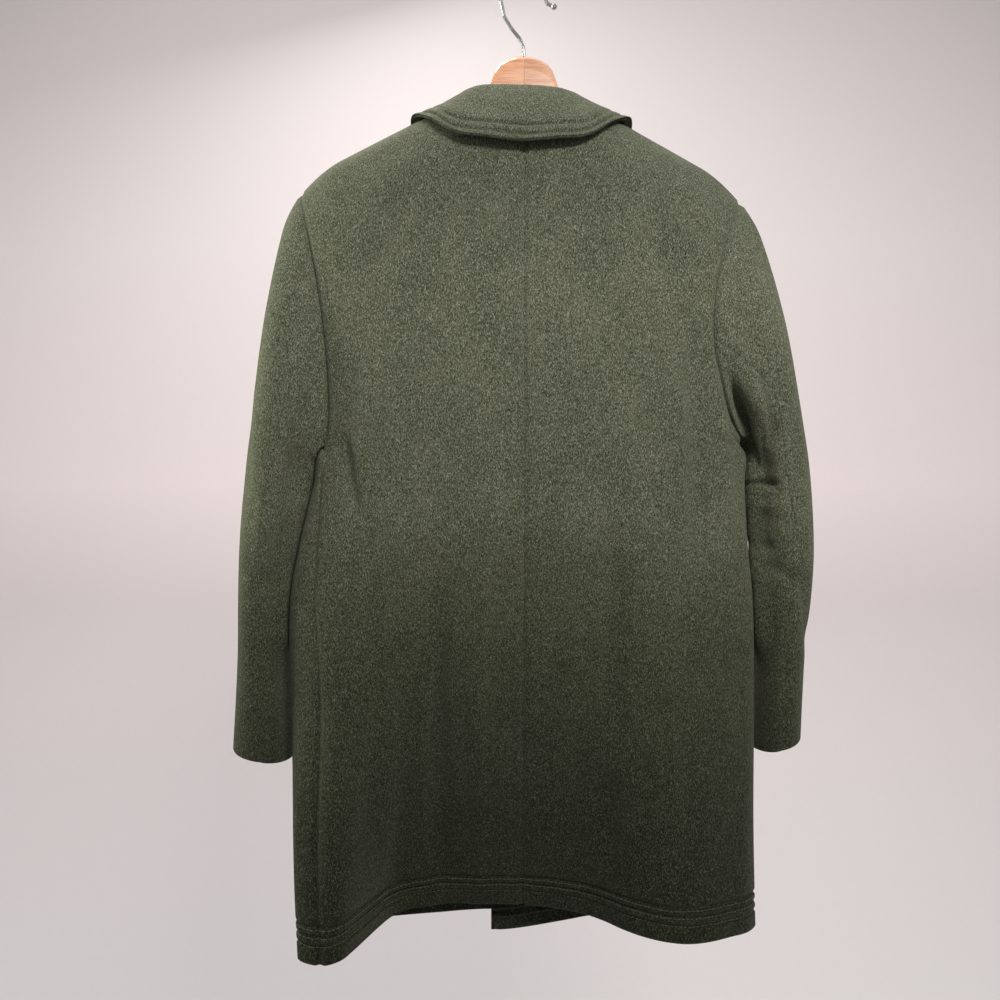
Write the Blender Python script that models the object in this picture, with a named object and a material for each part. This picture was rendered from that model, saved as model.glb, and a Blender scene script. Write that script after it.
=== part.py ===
"""A man's loden topcoat, buttoned, on a wooden hanger with a wire hook.

Metres, +Z up. The origin is the inside of the hook's crown, where the hanger hangs.
+X is the wearer's right, -Y is the coat's back and +Y its front.
The cloth is cut in panels. Each panel is a wall: its outer points, and the same
points moved in by the cloth's thickness. Panels that meet share a seam line, and
each is trimmed back from it by half of the seam gap.
"""

import math

import bmesh
import bpy
import numpy as np
from mathutils import Vector
from mathutils.bvhtree import BVHTree

LEFT = -1
RIGHT = 1
SIDE_NAMES = {LEFT: "left", RIGHT: "right"}

# cloth
CLOTH = 0.0026
COLLAR_CLOTH = 0.0034
SEAM_GAP = 0.0004
LAP_GAP = 0.0016
SQUARENESS = 2.6

# shoulders and neck
NECK_HALF_WIDTH = 0.092
NECK_POINT_Y = -0.002
BACK_NECK_DROP = 0.012
BACK_NECK_DEPTH = 0.040
FRONT_NECK_DROP = 0.078
FRONT_NECK_DROP_POWER = 2.2
FRONT_NECK_DEPTH = 0.0525
FRONT_NECK_DEPTH_POWER = 0.6
COLLAR_END_FROM_CENTRE = 0.006
TIP_Y = 0.010
SHOULDER_ROUND = 0.014
ROUND_START = 0.70
SHOULDER_ROLL = 0.090
TIP_LIFT_TO = 45.0

# grids
ARMHOLE_STEPS = 9
BODY_STEPS = 14
NECK_STEPS = 4
SHOULDER_STEPS = 8
LAP_STEPS = 2
SLEEVE_STEPS = 15
ELBOW_SEAM_STEP = 5
FOREARM_SEAM_STEP = 12
EVEN_ROWS_FROM = 0.25
ROW_SAMPLES = 160
SHARP_ANGLE = 50.0

# seams between two parts of the garment: where they count as a valley, and the least mitre
VALLEY = 0.05
LEAST_MITRE = 0.55
SHARPEST_CORNER = -0.4

# fronts
LEFT_FRONT_LAP = 0.030
RIGHT_FRONT_LAP = 0.0355
LAP_RAMP = 0.035

SHOULDERS = {
    LEFT: {"neck_z": -0.1490, "tip_x": 0.2440, "tip_z": -0.2335, "underarm_z": -0.516},
    RIGHT: {"neck_z": -0.1540, "tip_x": 0.2400, "tip_z": -0.2435, "underarm_z": -0.516},
}

# The torso's section at each height: its two sides, and the depth of its faces
TORSO_COLUMNS = ("z", "left", "right", "back", "front", "left_y", "right_y")
TORSO = (
    (-0.150, 0.262, 0.256, -0.044, 0.049, 0.010, 0.010),
    (-0.300, 0.262, 0.256, -0.051, 0.053, 0.010, 0.010),
    (-0.380, 0.250, 0.253, -0.053, 0.055, 0.009, 0.009),
    (-0.440, 0.234, 0.249, -0.054, 0.056, 0.007, 0.007),
    (-0.515, 0.2215, 0.240, -0.054, 0.057, 0.002, 0.004),
    (-0.560, 0.229, 0.242, -0.053, 0.057, 0.000, 0.003),
    (-0.610, 0.241, 0.244, -0.052, 0.057, 0.000, 0.002),
    (-0.660, 0.251, 0.249, -0.049, 0.056, -0.004, 0.000),
    (-0.800, 0.250, 0.252, -0.045, 0.056, -0.010, -0.002),
    (-0.920, 0.244, 0.250, -0.040, 0.056, -0.034, -0.010),
    (-1.050, 0.2295, 0.250, -0.034, 0.056, -0.060, -0.022),
)

# The angle round the section from the centre back to each edge of the armhole
# and, for the front edge, from the centre front
ARMHOLE_COLUMNS = ("step", "left_back", "left_front", "right_back", "right_front")
ARMHOLE = (
    (0, 62.0, 62.0, 62.0, 62.0),
    (30, 61.0, 58.0, 59.5, 57.0),
    (60, 56.0, 50.0, 51.0, 49.0),
    (90, 54.0, 48.0, 47.0, 45.0),
    (120, 59.5, 56.0, 52.0, 51.0),
    (150, 68.0, 78.0, 67.0, 66.0),
    (180, 74.0, 106.0, 92.0, 88.0),
)

# The angle of the side seams at each height
SIDE_SEAM_COLUMNS = ("z", "left", "right")
SIDE_SEAM = (
    (-0.516, 74.0, 92.0),
    (-0.620, 61.0, 92.0),
    (-1.050, 60.0, 92.0),
)

# Where the back's hem stands, from its left corner to its right corner
HEM_WAVE_FROM = -0.590
HEM_WAVE_TO = -1.035
HEM_WAVE_POWER = 1.35
HEM_WAVE_COLUMNS = ("x", "y")
HEM_WAVE = (
    (-0.230, -0.066),
    (-0.185, -0.058),
    (-0.167, -0.016),
    (-0.150, 0.020),
    (-0.105, 0.038),
    (-0.040, 0.032),
    (0.030, 0.023),
    (0.075, 0.006),
    (0.120, -0.033),
    (0.165, -0.054),
    (0.245, -0.040),
)

# The height of each hem from side to side
HEM_COLUMNS = ("x", "back", "left_front", "right_front")
HEM = (
    (-0.250, -1.044, -1.044, -1.044),
    (-0.150, -1.036, -1.057, -1.057),
    (-0.035, -1.029, -1.058, -1.071),
    (0.075, -1.029, -1.058, -1.055),
    (0.160, -1.028, -1.045, -1.042),
    (0.250, -1.026, -1.026, -1.026),
)

# Soft folds of the panels: their line from top to foot, half width and depth outwards
FOLD_COLUMNS = ("face", "x_top", "z_top", "x_foot", "z_foot", "half_width", "depth")
FOLDS = (
    ("back", 0.180, -0.400, 0.205, -0.640, 0.030, -0.005),
    ("back", -0.160, -0.460, -0.185, -0.800, 0.040, -0.004),
    ("back", 0.020, -0.260, 0.000, -0.700, 0.085, 0.004),
    ("front", 0.120, -0.420, 0.150, -1.060, 0.050, -0.006),
    ("front", -0.120, -0.460, -0.140, -1.060, 0.050, -0.006),
)
FOLD_FADE = 0.12

# Each sleeve by its outer line and its inner line, and the depth of its two faces
SLEEVE_COLUMNS = ("outer_x", "outer_z", "inner_x", "inner_z", "back_y", "front_y")
SLEEVES = {
    LEFT: (
        (0.244, -0.2335, 0.2155, -0.516, -0.038, 0.048),
        (0.260, -0.262, 0.2240, -0.5195, -0.040, 0.052),
        (0.271, -0.310, 0.2290, -0.528, -0.042, 0.058),
        (0.283, -0.380, 0.2335, -0.542, -0.043, 0.064),
        (0.293, -0.455, 0.2395, -0.562, -0.042, 0.068),
        (0.304, -0.540, 0.2510, -0.606, -0.038, 0.071),
        (0.312, -0.640, 0.2600, -0.668, -0.030, 0.074),
        (0.315, -0.742, 0.2610, -0.760, -0.024, 0.076),
        (0.322, -0.843, 0.2560, -0.858, -0.020, 0.078),
    ),
    RIGHT: (
        (0.240, -0.2435, 0.2400, -0.516, -0.038, 0.048),
        (0.258, -0.271, 0.2460, -0.5195, -0.040, 0.052),
        (0.272, -0.318, 0.2490, -0.527, -0.042, 0.058),
        (0.286, -0.385, 0.2515, -0.541, -0.042, 0.064),
        (0.299, -0.455, 0.2540, -0.562, -0.040, 0.068),
        (0.313, -0.540, 0.2575, -0.602, -0.036, 0.071),
        (0.319, -0.640, 0.2590, -0.660, -0.030, 0.074),
        (0.3105, -0.735, 0.2590, -0.745, -0.025, 0.076),
        (0.307, -0.828, 0.2550, -0.846, -0.022, 0.078),
    ),
}
SLEEVE_SQUARENESS = 2.3
CUFF_OUTER_Y = 0.032
CUFF_INNER_Y = 0.030
INNER_LINE_BACK = 0.15
ARMHOLE_FADE = 0.38

# Dents of the sleeves: place along and round the sleeve, their reach, and depth inwards
DENT_COLUMNS = ("side", "along", "around", "along_reach", "around_reach", "depth")
DENTS = (
    (RIGHT, 0.40, 135.0, 0.20, 34.0, 0.016),
    (RIGHT, 0.56, 100.0, 0.07, 45.0, 0.006),
    (LEFT, 0.46, 140.0, 0.16, 30.0, 0.007),
    (LEFT, 0.62, 70.0, 0.10, 40.0, 0.003),
)

# The collar at five places from the centre back to the centre front:
# its fold line, the edge of its fall, and how far the fall stands out over the seam
COLLAR_COLUMNS = ("place", "fold_x", "fold_y", "fold_z", "edge_x", "edge_y", "edge_z", "bulge")
COLLAR = (
    (0.00, 0.000, -0.026, -0.1370, 0.000, -0.055, -0.2060, 0.006),
    (0.25, 0.042, -0.023, -0.1375, 0.068, -0.050, -0.1960, 0.005),
    (0.50, 0.061, 0.000, -0.1415, 0.116, -0.004, -0.1640, 0.003),
    (0.75, 0.050, 0.032, -0.1660, 0.104, 0.056, -0.2300, 0.004),
    (1.00, 0.006, 0.042, -0.2080, 0.052, 0.064, -0.2950, 0.004),
)
COLLAR_TURN = 0.0012
STAND_STEPS = 3
TURN_STEPS = 3
FALL_STEPS = 6
COLLAR_CLEARANCE = 0.0023
COLLAR_SHIFT_X = -0.004
COLLAR_LEAN = (0.6, 0.8)
DEEPEST_PUSH = 0.007
COLLAR_SETTLE_ROUNDS = 8
COLLAR_SETTLE_SAMPLES = 4

# buttons
BUTTON_COUNT = 4
FIRST_BUTTON_Z = -0.335
BUTTON_STEP = 0.125
BUTTON_RADIUS = 0.0125
BUTTON_THICKNESS = 0.0042
BUTTON_RIM = 0.0022
BUTTON_RIM_RISE = 0.0009
BUTTON_SHANK_RADIUS = 0.0028
BUTTON_SHANK = 0.0022
BUTTON_SIDES = 20
BUTTON_SIGHT_Y = 0.3

# hanger
HANGER_JOINT_X = 0.001
HANGER_THICKNESS = 0.0120
HANGER_TIP_THICKNESS = 0.0100
HANGER_TIP_HEIGHT = 0.022
HANGER_ARM_HEIGHT = 0.030
HANGER_SEAT_GAP = 0.0004
HANGER_SEAT_ROUNDS = 12
TIP_RINGS = ((0.003, 0.86), (0.005, 0.55))
TIP_FALL = 0.6
COLLAR_SEAT_TO = 0.116
COLLAR_SEAT_FADE = 0.030
COLLAR_DIP = 0.0085
CROWN_HALF_WIDTH = 0.040
ARM_START = 0.004
ARM_STEPS = 3
HANGER_FREE_DROP = 0.0065
CROWN_Z = -0.0872
CROWN_CURVE = (
    (0.000, 0.0000),
    (0.008, -0.0008),
    (0.017, -0.0034),
    (0.025, -0.0080),
    (0.031, -0.0160),
    (0.036, -0.0290),
)
CROWN_FOOT_Z = -0.157
HANGER_SIDES = 12
HANGER_FLATNESS = 0.8
HANGER_ROUNDNESS = 0.9

# hook
WIRE_RADIUS = 0.0020
HOOK_RADIUS = 0.0242
HOOK_ROUTE = (
    (0.0010, -0.0868),
    (0.0005, -0.0760),
    (-0.0035, -0.0665),
    (-0.0120, -0.0560),
    (-0.0205, -0.0420),
)
HOOK_ARC_FROM = 190.0
HOOK_ARC_TO = 2.0
HOOK_ARC_STEPS = 16
HOOK_FLICK = ((0.0270, -0.0285), (0.0320, -0.0308))
HOOK_BALL_RADIUS = 0.0031
HOOK_BALL_NECK = 0.22
HOOK_BALL_STEPS = 6
WIRE_SIDES = 12

LODEN = ("loden", (0.060, 0.066, 0.036), 0.95, 0.0)
HORN = ("horn", (0.085, 0.050, 0.028), 0.40, 0.0)
WOOD = ("lotus_wood", (0.690, 0.450, 0.270), 0.50, 0.0)
STEEL = ("hook_steel", (0.420, 0.410, 0.400), 0.28, 1.0)


def clear_scene():
    for old in list(bpy.data.objects):
        bpy.data.objects.remove(old, do_unlink=True)


def material(name, colour, roughness, metallic):
    made = bpy.data.materials.get(name) or bpy.data.materials.new(name)
    made.use_nodes = True
    shader = made.node_tree.nodes["Principled BSDF"]
    shader.inputs["Base Color"].default_value = (*colour, 1.0)
    shader.inputs["Roughness"].default_value = roughness
    shader.inputs["Metallic"].default_value = metallic
    return made


def smoothstep(value):
    value = np.clip(value, 0.0, 1.0)
    return value * value * (3.0 - 2.0 * value)


def curve_value(xs, ys, x):
    """A smooth curve through the points (xs, ys), read at x."""
    xs = np.asarray(xs, float)
    ys = np.asarray(ys, float)
    steps = np.diff(xs)
    rises = np.diff(ys) / steps
    slopes = np.empty_like(ys)
    slopes[1:-1] = (rises[:-1] * steps[1:] + rises[1:] * steps[:-1]) / (steps[:-1] + steps[1:])
    slopes[0] = rises[0]
    slopes[-1] = rises[-1]
    x = np.clip(x, xs[0], xs[-1])
    k = np.clip(np.searchsorted(xs, x, side="right") - 1, 0, len(steps) - 1)
    t = (x - xs[k]) / steps[k]
    h = steps[k]
    start = ys[k] * (1 + 2 * t) * (1 - t) ** 2 + slopes[k] * h * t * (1 - t) ** 2
    end = ys[k + 1] * t * t * (3 - 2 * t) + slopes[k + 1] * h * t * t * (t - 1)
    return start + end


def read_table(table, columns, key, name, x):
    """A column of a table as a smooth curve over its key column."""
    rows = sorted(table, key=lambda row: row[columns.index(key)])
    keys = [row[columns.index(key)] for row in rows]
    values = [row[columns.index(name)] for row in rows]
    return curve_value(keys, values, x)


def torso(name, z):
    return read_table(TORSO, TORSO_COLUMNS, "z", name, z)


def hem_height(panel, x):
    return read_table(HEM, HEM_COLUMNS, "x", panel, x)


def shoulder_z(side, x):
    """The height of the shoulder seam at the distance x from the centre."""
    size = SHOULDERS[side]
    along = (x - NECK_HALF_WIDTH) / (size["tip_x"] - NECK_HALF_WIDTH)
    rounding = np.clip((along - ROUND_START) / (1 - ROUND_START), 0, 1) ** 2
    straight_tip = size["tip_z"] + SHOULDER_ROUND
    return size["neck_z"] + (straight_tip - size["neck_z"]) * along - SHOULDER_ROUND * rounding


def shoulder_y(side, x):
    along = (x - NECK_HALF_WIDTH) / (SHOULDERS[side]["tip_x"] - NECK_HALF_WIDTH)
    return NECK_POINT_Y + (TIP_Y - NECK_POINT_Y) * along


def fold_depth(face, x, z):
    """How far the folds of a face stand out of it at x and z."""
    depth = 0.0
    for row in FOLDS:
        fold = dict(zip(FOLD_COLUMNS, row))
        if fold["face"] != face:
            continue
        along = (fold["z_top"] - z) / (fold["z_top"] - fold["z_foot"])
        centre = fold["x_top"] + (fold["x_foot"] - fold["x_top"]) * along
        across = np.clip((x - centre) / fold["half_width"], -1, 1)
        fade = smoothstep((fold["z_top"] - z) / FOLD_FADE) * smoothstep((z - fold["z_foot"]) / FOLD_FADE)
        depth += fold["depth"] * fade * np.cos(across * math.pi / 2) ** 2
    return depth


def back_y(x, z):
    grown = np.clip((HEM_WAVE_FROM - z) / (HEM_WAVE_FROM - HEM_WAVE_TO), 0, 1) ** HEM_WAVE_POWER
    flat = torso("back", z)
    wave = read_table(HEM_WAVE, HEM_WAVE_COLUMNS, "x", "y", x)
    return flat + (wave - flat) * grown - fold_depth("back", x, z)


def front_y(x, z):
    return torso("front", z) + fold_depth("front", x, z)


def section_point(side, level, angle, z, top=None):
    """A point of the torso's surface, angle degrees from the centre back round one side.

    The section's size is read at level, and the point lies at height z. top is the
    (y, z) of the panel's upper edge above the point, which the surface rolls over.
    """
    half = torso(SIDE_NAMES[side], level)
    turn = math.radians(angle)
    x = side * half * math.copysign(abs(math.sin(turn)) ** (2 / SQUARENESS), math.sin(turn))
    share = (x + torso("left", level)) / (torso("left", level) + torso("right", level))
    middle = torso("left_y", level) + (torso("right_y", level) - torso("left_y", level)) * share
    face = back_y(x, z) if math.cos(turn) > 0 else front_y(x, z)
    y = middle + (face - middle) * abs(math.cos(turn)) ** (2 / SQUARENESS)
    if top is not None:
        drop = np.clip((top[1] - z) / SHOULDER_ROLL, 0, 1)
        y = top[0] + (y - top[0]) * math.sqrt(1 - (1 - drop) ** 2)
    return np.array((x, y, z))


def armhole_point(side, step):
    """A point of the armhole: step degrees from the shoulder tip down the back and up the front."""
    size = SHOULDERS[side]
    down = step if step <= 180 else 360 - step
    face = "back" if step <= 180 else "front"
    share = (1 - math.cos(math.radians(down))) / 2
    z = size["tip_z"] + (size["underarm_z"] - size["tip_z"]) * share
    angle = read_table(ARMHOLE, ARMHOLE_COLUMNS, "step", f"{SIDE_NAMES[side]}_{face}", down)
    if face == "front":
        angle = 180 - angle
    if down == 0:
        return np.array((side * size["tip_x"], TIP_Y, size["tip_z"])), float(angle)
    point = section_point(side, z, float(angle), z, (TIP_Y, size["tip_z"]))
    lift = smoothstep(1 - down / TIP_LIFT_TO)
    point[0] += (side * size["tip_x"] - point[0]) * lift
    return point, float(angle)


def edge_rows(side, face):
    """The outer edge of a torso panel: the armhole, then the side seam. Rows of (point, angle)."""
    rows = []
    for k in range(ARMHOLE_STEPS + 1):
        down = 180.0 * k / ARMHOLE_STEPS
        on_front = face == "front" and 0 < k < ARMHOLE_STEPS
        rows.append(armhole_point(side, 360 - down if on_front else down))
    start = SHOULDERS[side]["underarm_z"]
    edge_x = rows[-1][0][0]
    foot = float(hem_height("back", edge_x))
    top = (TIP_Y, SHOULDERS[side]["tip_z"])
    for k in range(1, BODY_STEPS + 1):
        z = start + (foot - start) * k / BODY_STEPS
        angle = float(read_table(SIDE_SEAM, SIDE_SEAM_COLUMNS, "z", SIDE_NAMES[side], z))
        rows.append((section_point(side, z, angle, z, top), angle))
    return rows


def neck_point(side, face, turn, height):
    """A point of the neckline, turn radians from the centre line, below the neck point's height."""
    inwards = max(0.0, math.cos(turn))
    if face == "back":
        y = NECK_POINT_Y - BACK_NECK_DEPTH * inwards
        z = height - BACK_NECK_DROP * inwards
    else:
        y = NECK_POINT_Y + FRONT_NECK_DEPTH * inwards ** FRONT_NECK_DEPTH_POWER
        z = height - FRONT_NECK_DROP * inwards ** FRONT_NECK_DROP_POWER
    return side * NECK_HALF_WIDTH * math.sin(turn), y, z


def top_edge(side, face):
    """The upper edge of a torso panel from its centre line: the neckline, then the shoulder seam."""
    size = SHOULDERS[side]
    centre_z = (SHOULDERS[LEFT]["neck_z"] + SHOULDERS[RIGHT]["neck_z"]) / 2
    first = 0.0 if face == "back" else math.asin(COLLAR_END_FROM_CENTRE / NECK_HALF_WIDTH)
    points = []
    for k in range(NECK_STEPS + 1):
        turn = first + (math.pi / 2 - first) * k / NECK_STEPS
        height = centre_z + (size["neck_z"] - centre_z) * k / NECK_STEPS
        points.append(neck_point(side, face, turn, height))
    for k in range(1, SHOULDER_STEPS + 1):
        x = NECK_HALF_WIDTH + (size["tip_x"] - NECK_HALF_WIDTH) * k / SHOULDER_STEPS
        points.append((side * x, float(shoulder_y(side, x)), float(shoulder_z(side, x))))
    if face == "front":
        lap = LEFT_FRONT_LAP if side == LEFT else RIGHT_FRONT_LAP
        lapped = []
        for k in range(LAP_STEPS):
            inside = -lap + (lap + COLLAR_END_FROM_CENTRE) * k / LAP_STEPS
            lapped.append(neck_point(side, face, math.asin(inside / NECK_HALF_WIDTH), centre_z))
        points = lapped + points
    return np.array(points)


def lap_shift(side, x):
    """The left front is lapped over the right one, half of the cloth's thickness each way."""
    shift = (CLOTH + LAP_GAP) / 2
    inside = side * x
    reach = RIGHT_FRONT_LAP if side == LEFT else LEFT_FRONT_LAP
    return -side * shift * smoothstep(1 - (inside - reach - LAP_RAMP / 2) / LAP_RAMP)


def torso_panel(side, face):
    """Rows of outer points of one torso panel, from its upper edge to its hem."""
    top = top_edge(side, face)
    edges = edge_rows(side, face)
    columns = len(top)
    foot_name = "back" if face == "back" else f"{SIDE_NAMES[side]}_front"
    tip_z = SHOULDERS[side]["tip_z"]
    underarm_z = SHOULDERS[side]["underarm_z"]
    foot_z = edges[-1][0][2]
    start_x = side * top[0][0]
    grid = np.empty((len(edges), columns, 3))
    top_share = (side * top[:, 0] - start_x) / (side * top[-1, 0] - start_x)
    for j, (edge, edge_angle) in enumerate(edges):
        down = (tip_z - edge[2]) / (tip_z - foot_z)
        above = max(0.0, (edge[2] - underarm_z) / (tip_z - underarm_z))
        below = max(0.0, (underarm_z - edge[2]) / (underarm_z - foot_z))
        angles, shares = row_angles(side, face, edge[2], edge_angle, start_x)
        even = smoothstep(down / EVEN_ROWS_FROM)
        wanted = top_share + (np.linspace(0, 1, columns) - top_share) * even
        for i in range(columns):
            if j == 0:
                grid[j, i] = top[i]
                continue
            if i == columns - 1:
                grid[j, i] = edge
                continue
            angle = float(np.interp(wanted[i], shares, angles))
            x = section_point(side, edge[2], angle, edge[2])[0]
            foot = float(hem_height(foot_name, x)) - float(hem_height(foot_name, edge[0]))
            z = edge[2] + above * (top[i, 2] - tip_z) + below * foot
            grid[j, i] = section_point(side, edge[2], angle, z, (top[i, 1], top[i, 2]))
    if face == "front":
        grid[:, :-1, 1] += lap_shift(side, grid[:, :-1, 0])
    return grid


def row_angles(side, face, level, edge_angle, start_x):
    """Angles along a row of a panel, and the share of the row's length at each."""
    half = float(torso(SIDE_NAMES[side], level))
    offset = math.degrees(math.asin(min(1.0, abs(start_x) / half) ** (SQUARENESS / 2)))
    first = 0.0 if face == "back" else 180 + math.copysign(offset, -start_x)
    angles = np.linspace(first, edge_angle, ROW_SAMPLES)
    points = np.array([section_point(side, level, angle, level)[:2] for angle in angles])
    lengths = np.concatenate([[0], np.cumsum(np.linalg.norm(np.diff(points, axis=0), axis=1))])
    return angles, lengths / lengths[-1]


def superellipse(step, squareness):
    turn = math.radians(step)
    across = math.copysign(abs(math.cos(turn)) ** (2 / squareness), math.cos(turn))
    depth = abs(math.sin(turn)) ** (2 / squareness)
    return across, depth


def dent_depth(side, along, step):
    depth = 0.0
    for row in DENTS:
        dent = dict(zip(DENT_COLUMNS, row))
        if dent["side"] != side:
            continue
        a = min(1.0, abs(along - dent["along"]) / dent["along_reach"])
        b = min(1.0, abs(step - dent["around"]) / dent["around_reach"])
        depth += dent["depth"] * (math.cos(a * math.pi / 2) * math.cos(b * math.pi / 2)) ** 2
    return depth


def sleeve_ring(side, along, steps):
    """Points round a sleeve, from its outer line down its back, along its inner line and up its front."""
    table = SLEEVES[side]
    keys = np.linspace(0, 1, len(table))
    size = {
        name: float(curve_value(keys, [row[k] for row in table], along))
        for k, name in enumerate(SLEEVE_COLUMNS)
    }
    outer_y = TIP_Y + (CUFF_OUTER_Y - TIP_Y) * along
    inner_y = size["back_y"] * INNER_LINE_BACK + CUFF_INNER_Y * along
    outer = np.array((side * size["outer_x"], outer_y, size["outer_z"]))
    inner = np.array((side * size["inner_x"], inner_y, size["inner_z"]))
    points = []
    for step in steps:
        across, depth = superellipse(step, SLEEVE_SQUARENESS)
        point = (outer + inner) / 2 + (outer - inner) / 2 * across
        face = size["back_y"] if step <= 180 else size["front_y"]
        point[1] += (face - point[1]) * depth
        points.append(point)
    return np.array(points)


def sleeve_grid(side):
    """Rows of outer points of a whole sleeve, from the armhole to the cuff."""
    steps = [180.0 * k / ARMHOLE_STEPS for k in range(2 * ARMHOLE_STEPS)]
    armhole = np.array([armhole_point(side, step)[0] for step in steps])
    leftover = armhole - sleeve_ring(side, 0.0, steps)
    rows = []
    for j in range(SLEEVE_STEPS + 1):
        along = j / SLEEVE_STEPS
        ring = sleeve_ring(side, along, steps) + leftover * (1 - smoothstep(along / ARMHOLE_FADE))
        centre = ring.mean(axis=0)
        for k, step in enumerate(steps):
            inwards = centre - ring[k]
            ring[k] += inwards / np.linalg.norm(inwards) * dent_depth(side, along, step)
        rows.append(ring)
    rows[0] = armhole
    return np.array(rows)


def collar_frame(place, side):
    """The collar's fold line and edge at a place from the centre back, 0, to the centre front, 1."""
    row = {}
    for name in COLLAR_COLUMNS[1:]:
        row[name] = float(read_table(COLLAR, COLLAR_COLUMNS, "place", name, place))
    tilt = (SHOULDERS[side]["neck_z"] - SHOULDERS[-side]["neck_z"]) / 2 * math.sin(place * math.pi)
    shift = COLLAR_SHIFT_X * (1 - place)
    fold = np.array((side * row["fold_x"] + shift, row["fold_y"], row["fold_z"] + tilt))
    edge = np.array((side * row["edge_x"] + shift, row["edge_y"], row["edge_z"] + tilt))
    return fold, edge, row["bulge"]


def unit(vector):
    return vector / np.linalg.norm(vector)


def collar_column(base, place, side, body):
    """Points of the collar from the neckline up the stand, over the turn and down the fall."""
    fold, edge, bulge = collar_frame(place, side)
    rise = unit(fold - base)
    plan = unit(np.array((base[0], base[1], 0.0)))
    outwards = plan * COLLAR_LEAN[0] + np.array((0.0, 0.0, COLLAR_LEAN[1]))
    outwards = unit(outwards - rise * np.dot(outwards, rise))
    points = [base + (fold - base) * k / STAND_STEPS for k in range(STAND_STEPS + 1)]
    for k in range(1, TURN_STEPS + 1):
        turn = math.pi * k / TURN_STEPS
        points.append(fold + COLLAR_TURN * (outwards * (1 - math.cos(turn)) + rise * math.sin(turn)))
    start = points[-1]
    middle = base + outwards * (2 * COLLAR_TURN + bulge)
    for k in range(1, FALL_STEPS + 1):
        t = k / FALL_STEPS
        point = (1 - t) ** 2 * start + 2 * t * (1 - t) * middle + t * t * edge
        points.append(clear_of(body, point, COLLAR_CLEARANCE))
    return np.array(points)


def clear_of(body, point, clearance):
    """The point, moved out of the body's surface where it is nearer than the clearance."""
    near, normal, _, _ = body.find_nearest(Vector(point))
    offset = Vector(point) - near
    height = offset.dot(normal)
    beside = (offset - normal * height).length
    if height < 0 and (beside > -height or height < -DEEPEST_PUSH):
        return point
    if height < 0 or offset.length < SEAM_GAP:
        return np.array(Vector(point) + normal * (clearance - height))
    return np.array(Vector(point) + offset.normalized() * max(0.0, clearance - offset.length))


def surface_tree(grids):
    """A search tree of the outer surfaces, with their faces turned out."""
    points = []
    faces = []
    for grid, flipped in grids:
        base = len(points)
        rows, columns = grid.shape[:2]
        points.extend(Vector(p) for p in grid.reshape(-1, 3))
        for j in range(rows - 1):
            for i in range(columns - 1):
                a = base + j * columns + i
                quad = (a, a + columns, a + columns + 1, a + 1)
                faces.append(quad[::-1] if flipped else quad)
    return BVHTree.FromPolygons(points, faces)


def panel_faces(grid_indices, flipped):
    rows, columns = grid_indices.shape
    faces = []
    for j in range(rows - 1):
        for i in range(columns - 1):
            left = (grid_indices[j, i], grid_indices[j + 1, i])
            quad = [*left, grid_indices[j + 1, i + 1], grid_indices[j, i + 1]]
            faces.append(quad[::-1] if flipped else quad)
    return faces


def face_normals(points, faces):
    quads = points[np.array(faces)]
    return np.cross(quads[:, 2] - quads[:, 0], quads[:, 3] - quads[:, 1])


def vertex_normals(points, faces, normals):
    total = np.zeros_like(points)
    for corner in range(4):
        np.add.at(total, np.array(faces)[:, corner], normals)
    size = np.linalg.norm(total, axis=1)
    size[size == 0] = 1
    return total / size[:, None]


class Garment:
    """Panels that share their seam points, each made into a wall of its own."""

    def __init__(self):
        self.points = []
        self.index = {}
        self.panels = {}

    def add_point(self, point):
        key = tuple(np.round(np.asarray(point) * 1e5).astype(int))
        if key not in self.index:
            self.index[key] = len(self.points)
            self.points.append(np.asarray(point, float))
        return self.index[key]

    def add_panel(self, name, group, grid, flipped, thickness):
        indices = np.array([[self.add_point(p) for p in row] for row in grid])
        self.panels[name] = (group, panel_faces(indices, flipped), thickness)

    def walls(self):
        """The walls of all panels. Panels of one group share their normals, so their seams are mitred.

        Where two groups meet in a ridge they share the normal too, and where they meet
        in a valley each keeps its own.
        """
        points = np.array(self.points)
        groups = {}
        for group, faces, _ in self.panels.values():
            groups.setdefault(group, []).extend(faces)
        normals = {}
        for key, faces in groups.items():
            normals[key] = vertex_normals(points, faces, face_normals(points, faces))
        common = sum(normals.values())
        common /= np.maximum(np.linalg.norm(common, axis=1), 1e-9)[:, None]
        depth = valley_depth(points, groups, normals)
        for name, (group, faces, thickness) in self.panels.items():
            yield name, wall(points, faces, normals[group], common, depth, thickness)


def boundary_edges(faces):
    seen = {}
    for face in faces:
        for k in range(4):
            a, b = face[k], face[(k + 1) % 4]
            seen[(a, b)] = face
    return [(a, b, face) for (a, b), face in seen.items() if (b, a) not in seen]


def trimmed(points, faces, own):
    """How far each border point moves into its panel, so that seams keep their gap."""
    shifts = {}
    for a, b, face in boundary_edges(faces):
        along = unit(points[b] - points[a])
        middle = (points[a] + points[b]) / 2
        inwards = points[list(face)].mean(axis=0) - middle
        for k in (a, b):
            flat = inwards - own[k] * np.dot(inwards, own[k])
            flat = flat - along * np.dot(flat, along)
            shifts.setdefault(k, []).append(unit(flat))
    moved = {}
    for k, ways in shifts.items():
        first, second = ways[0], ways[-1]
        turn = max(SHARPEST_CORNER, float(np.dot(first, second)))
        moved[k] = (first + second) / (1 + turn) * SEAM_GAP / 2
    return moved


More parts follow.
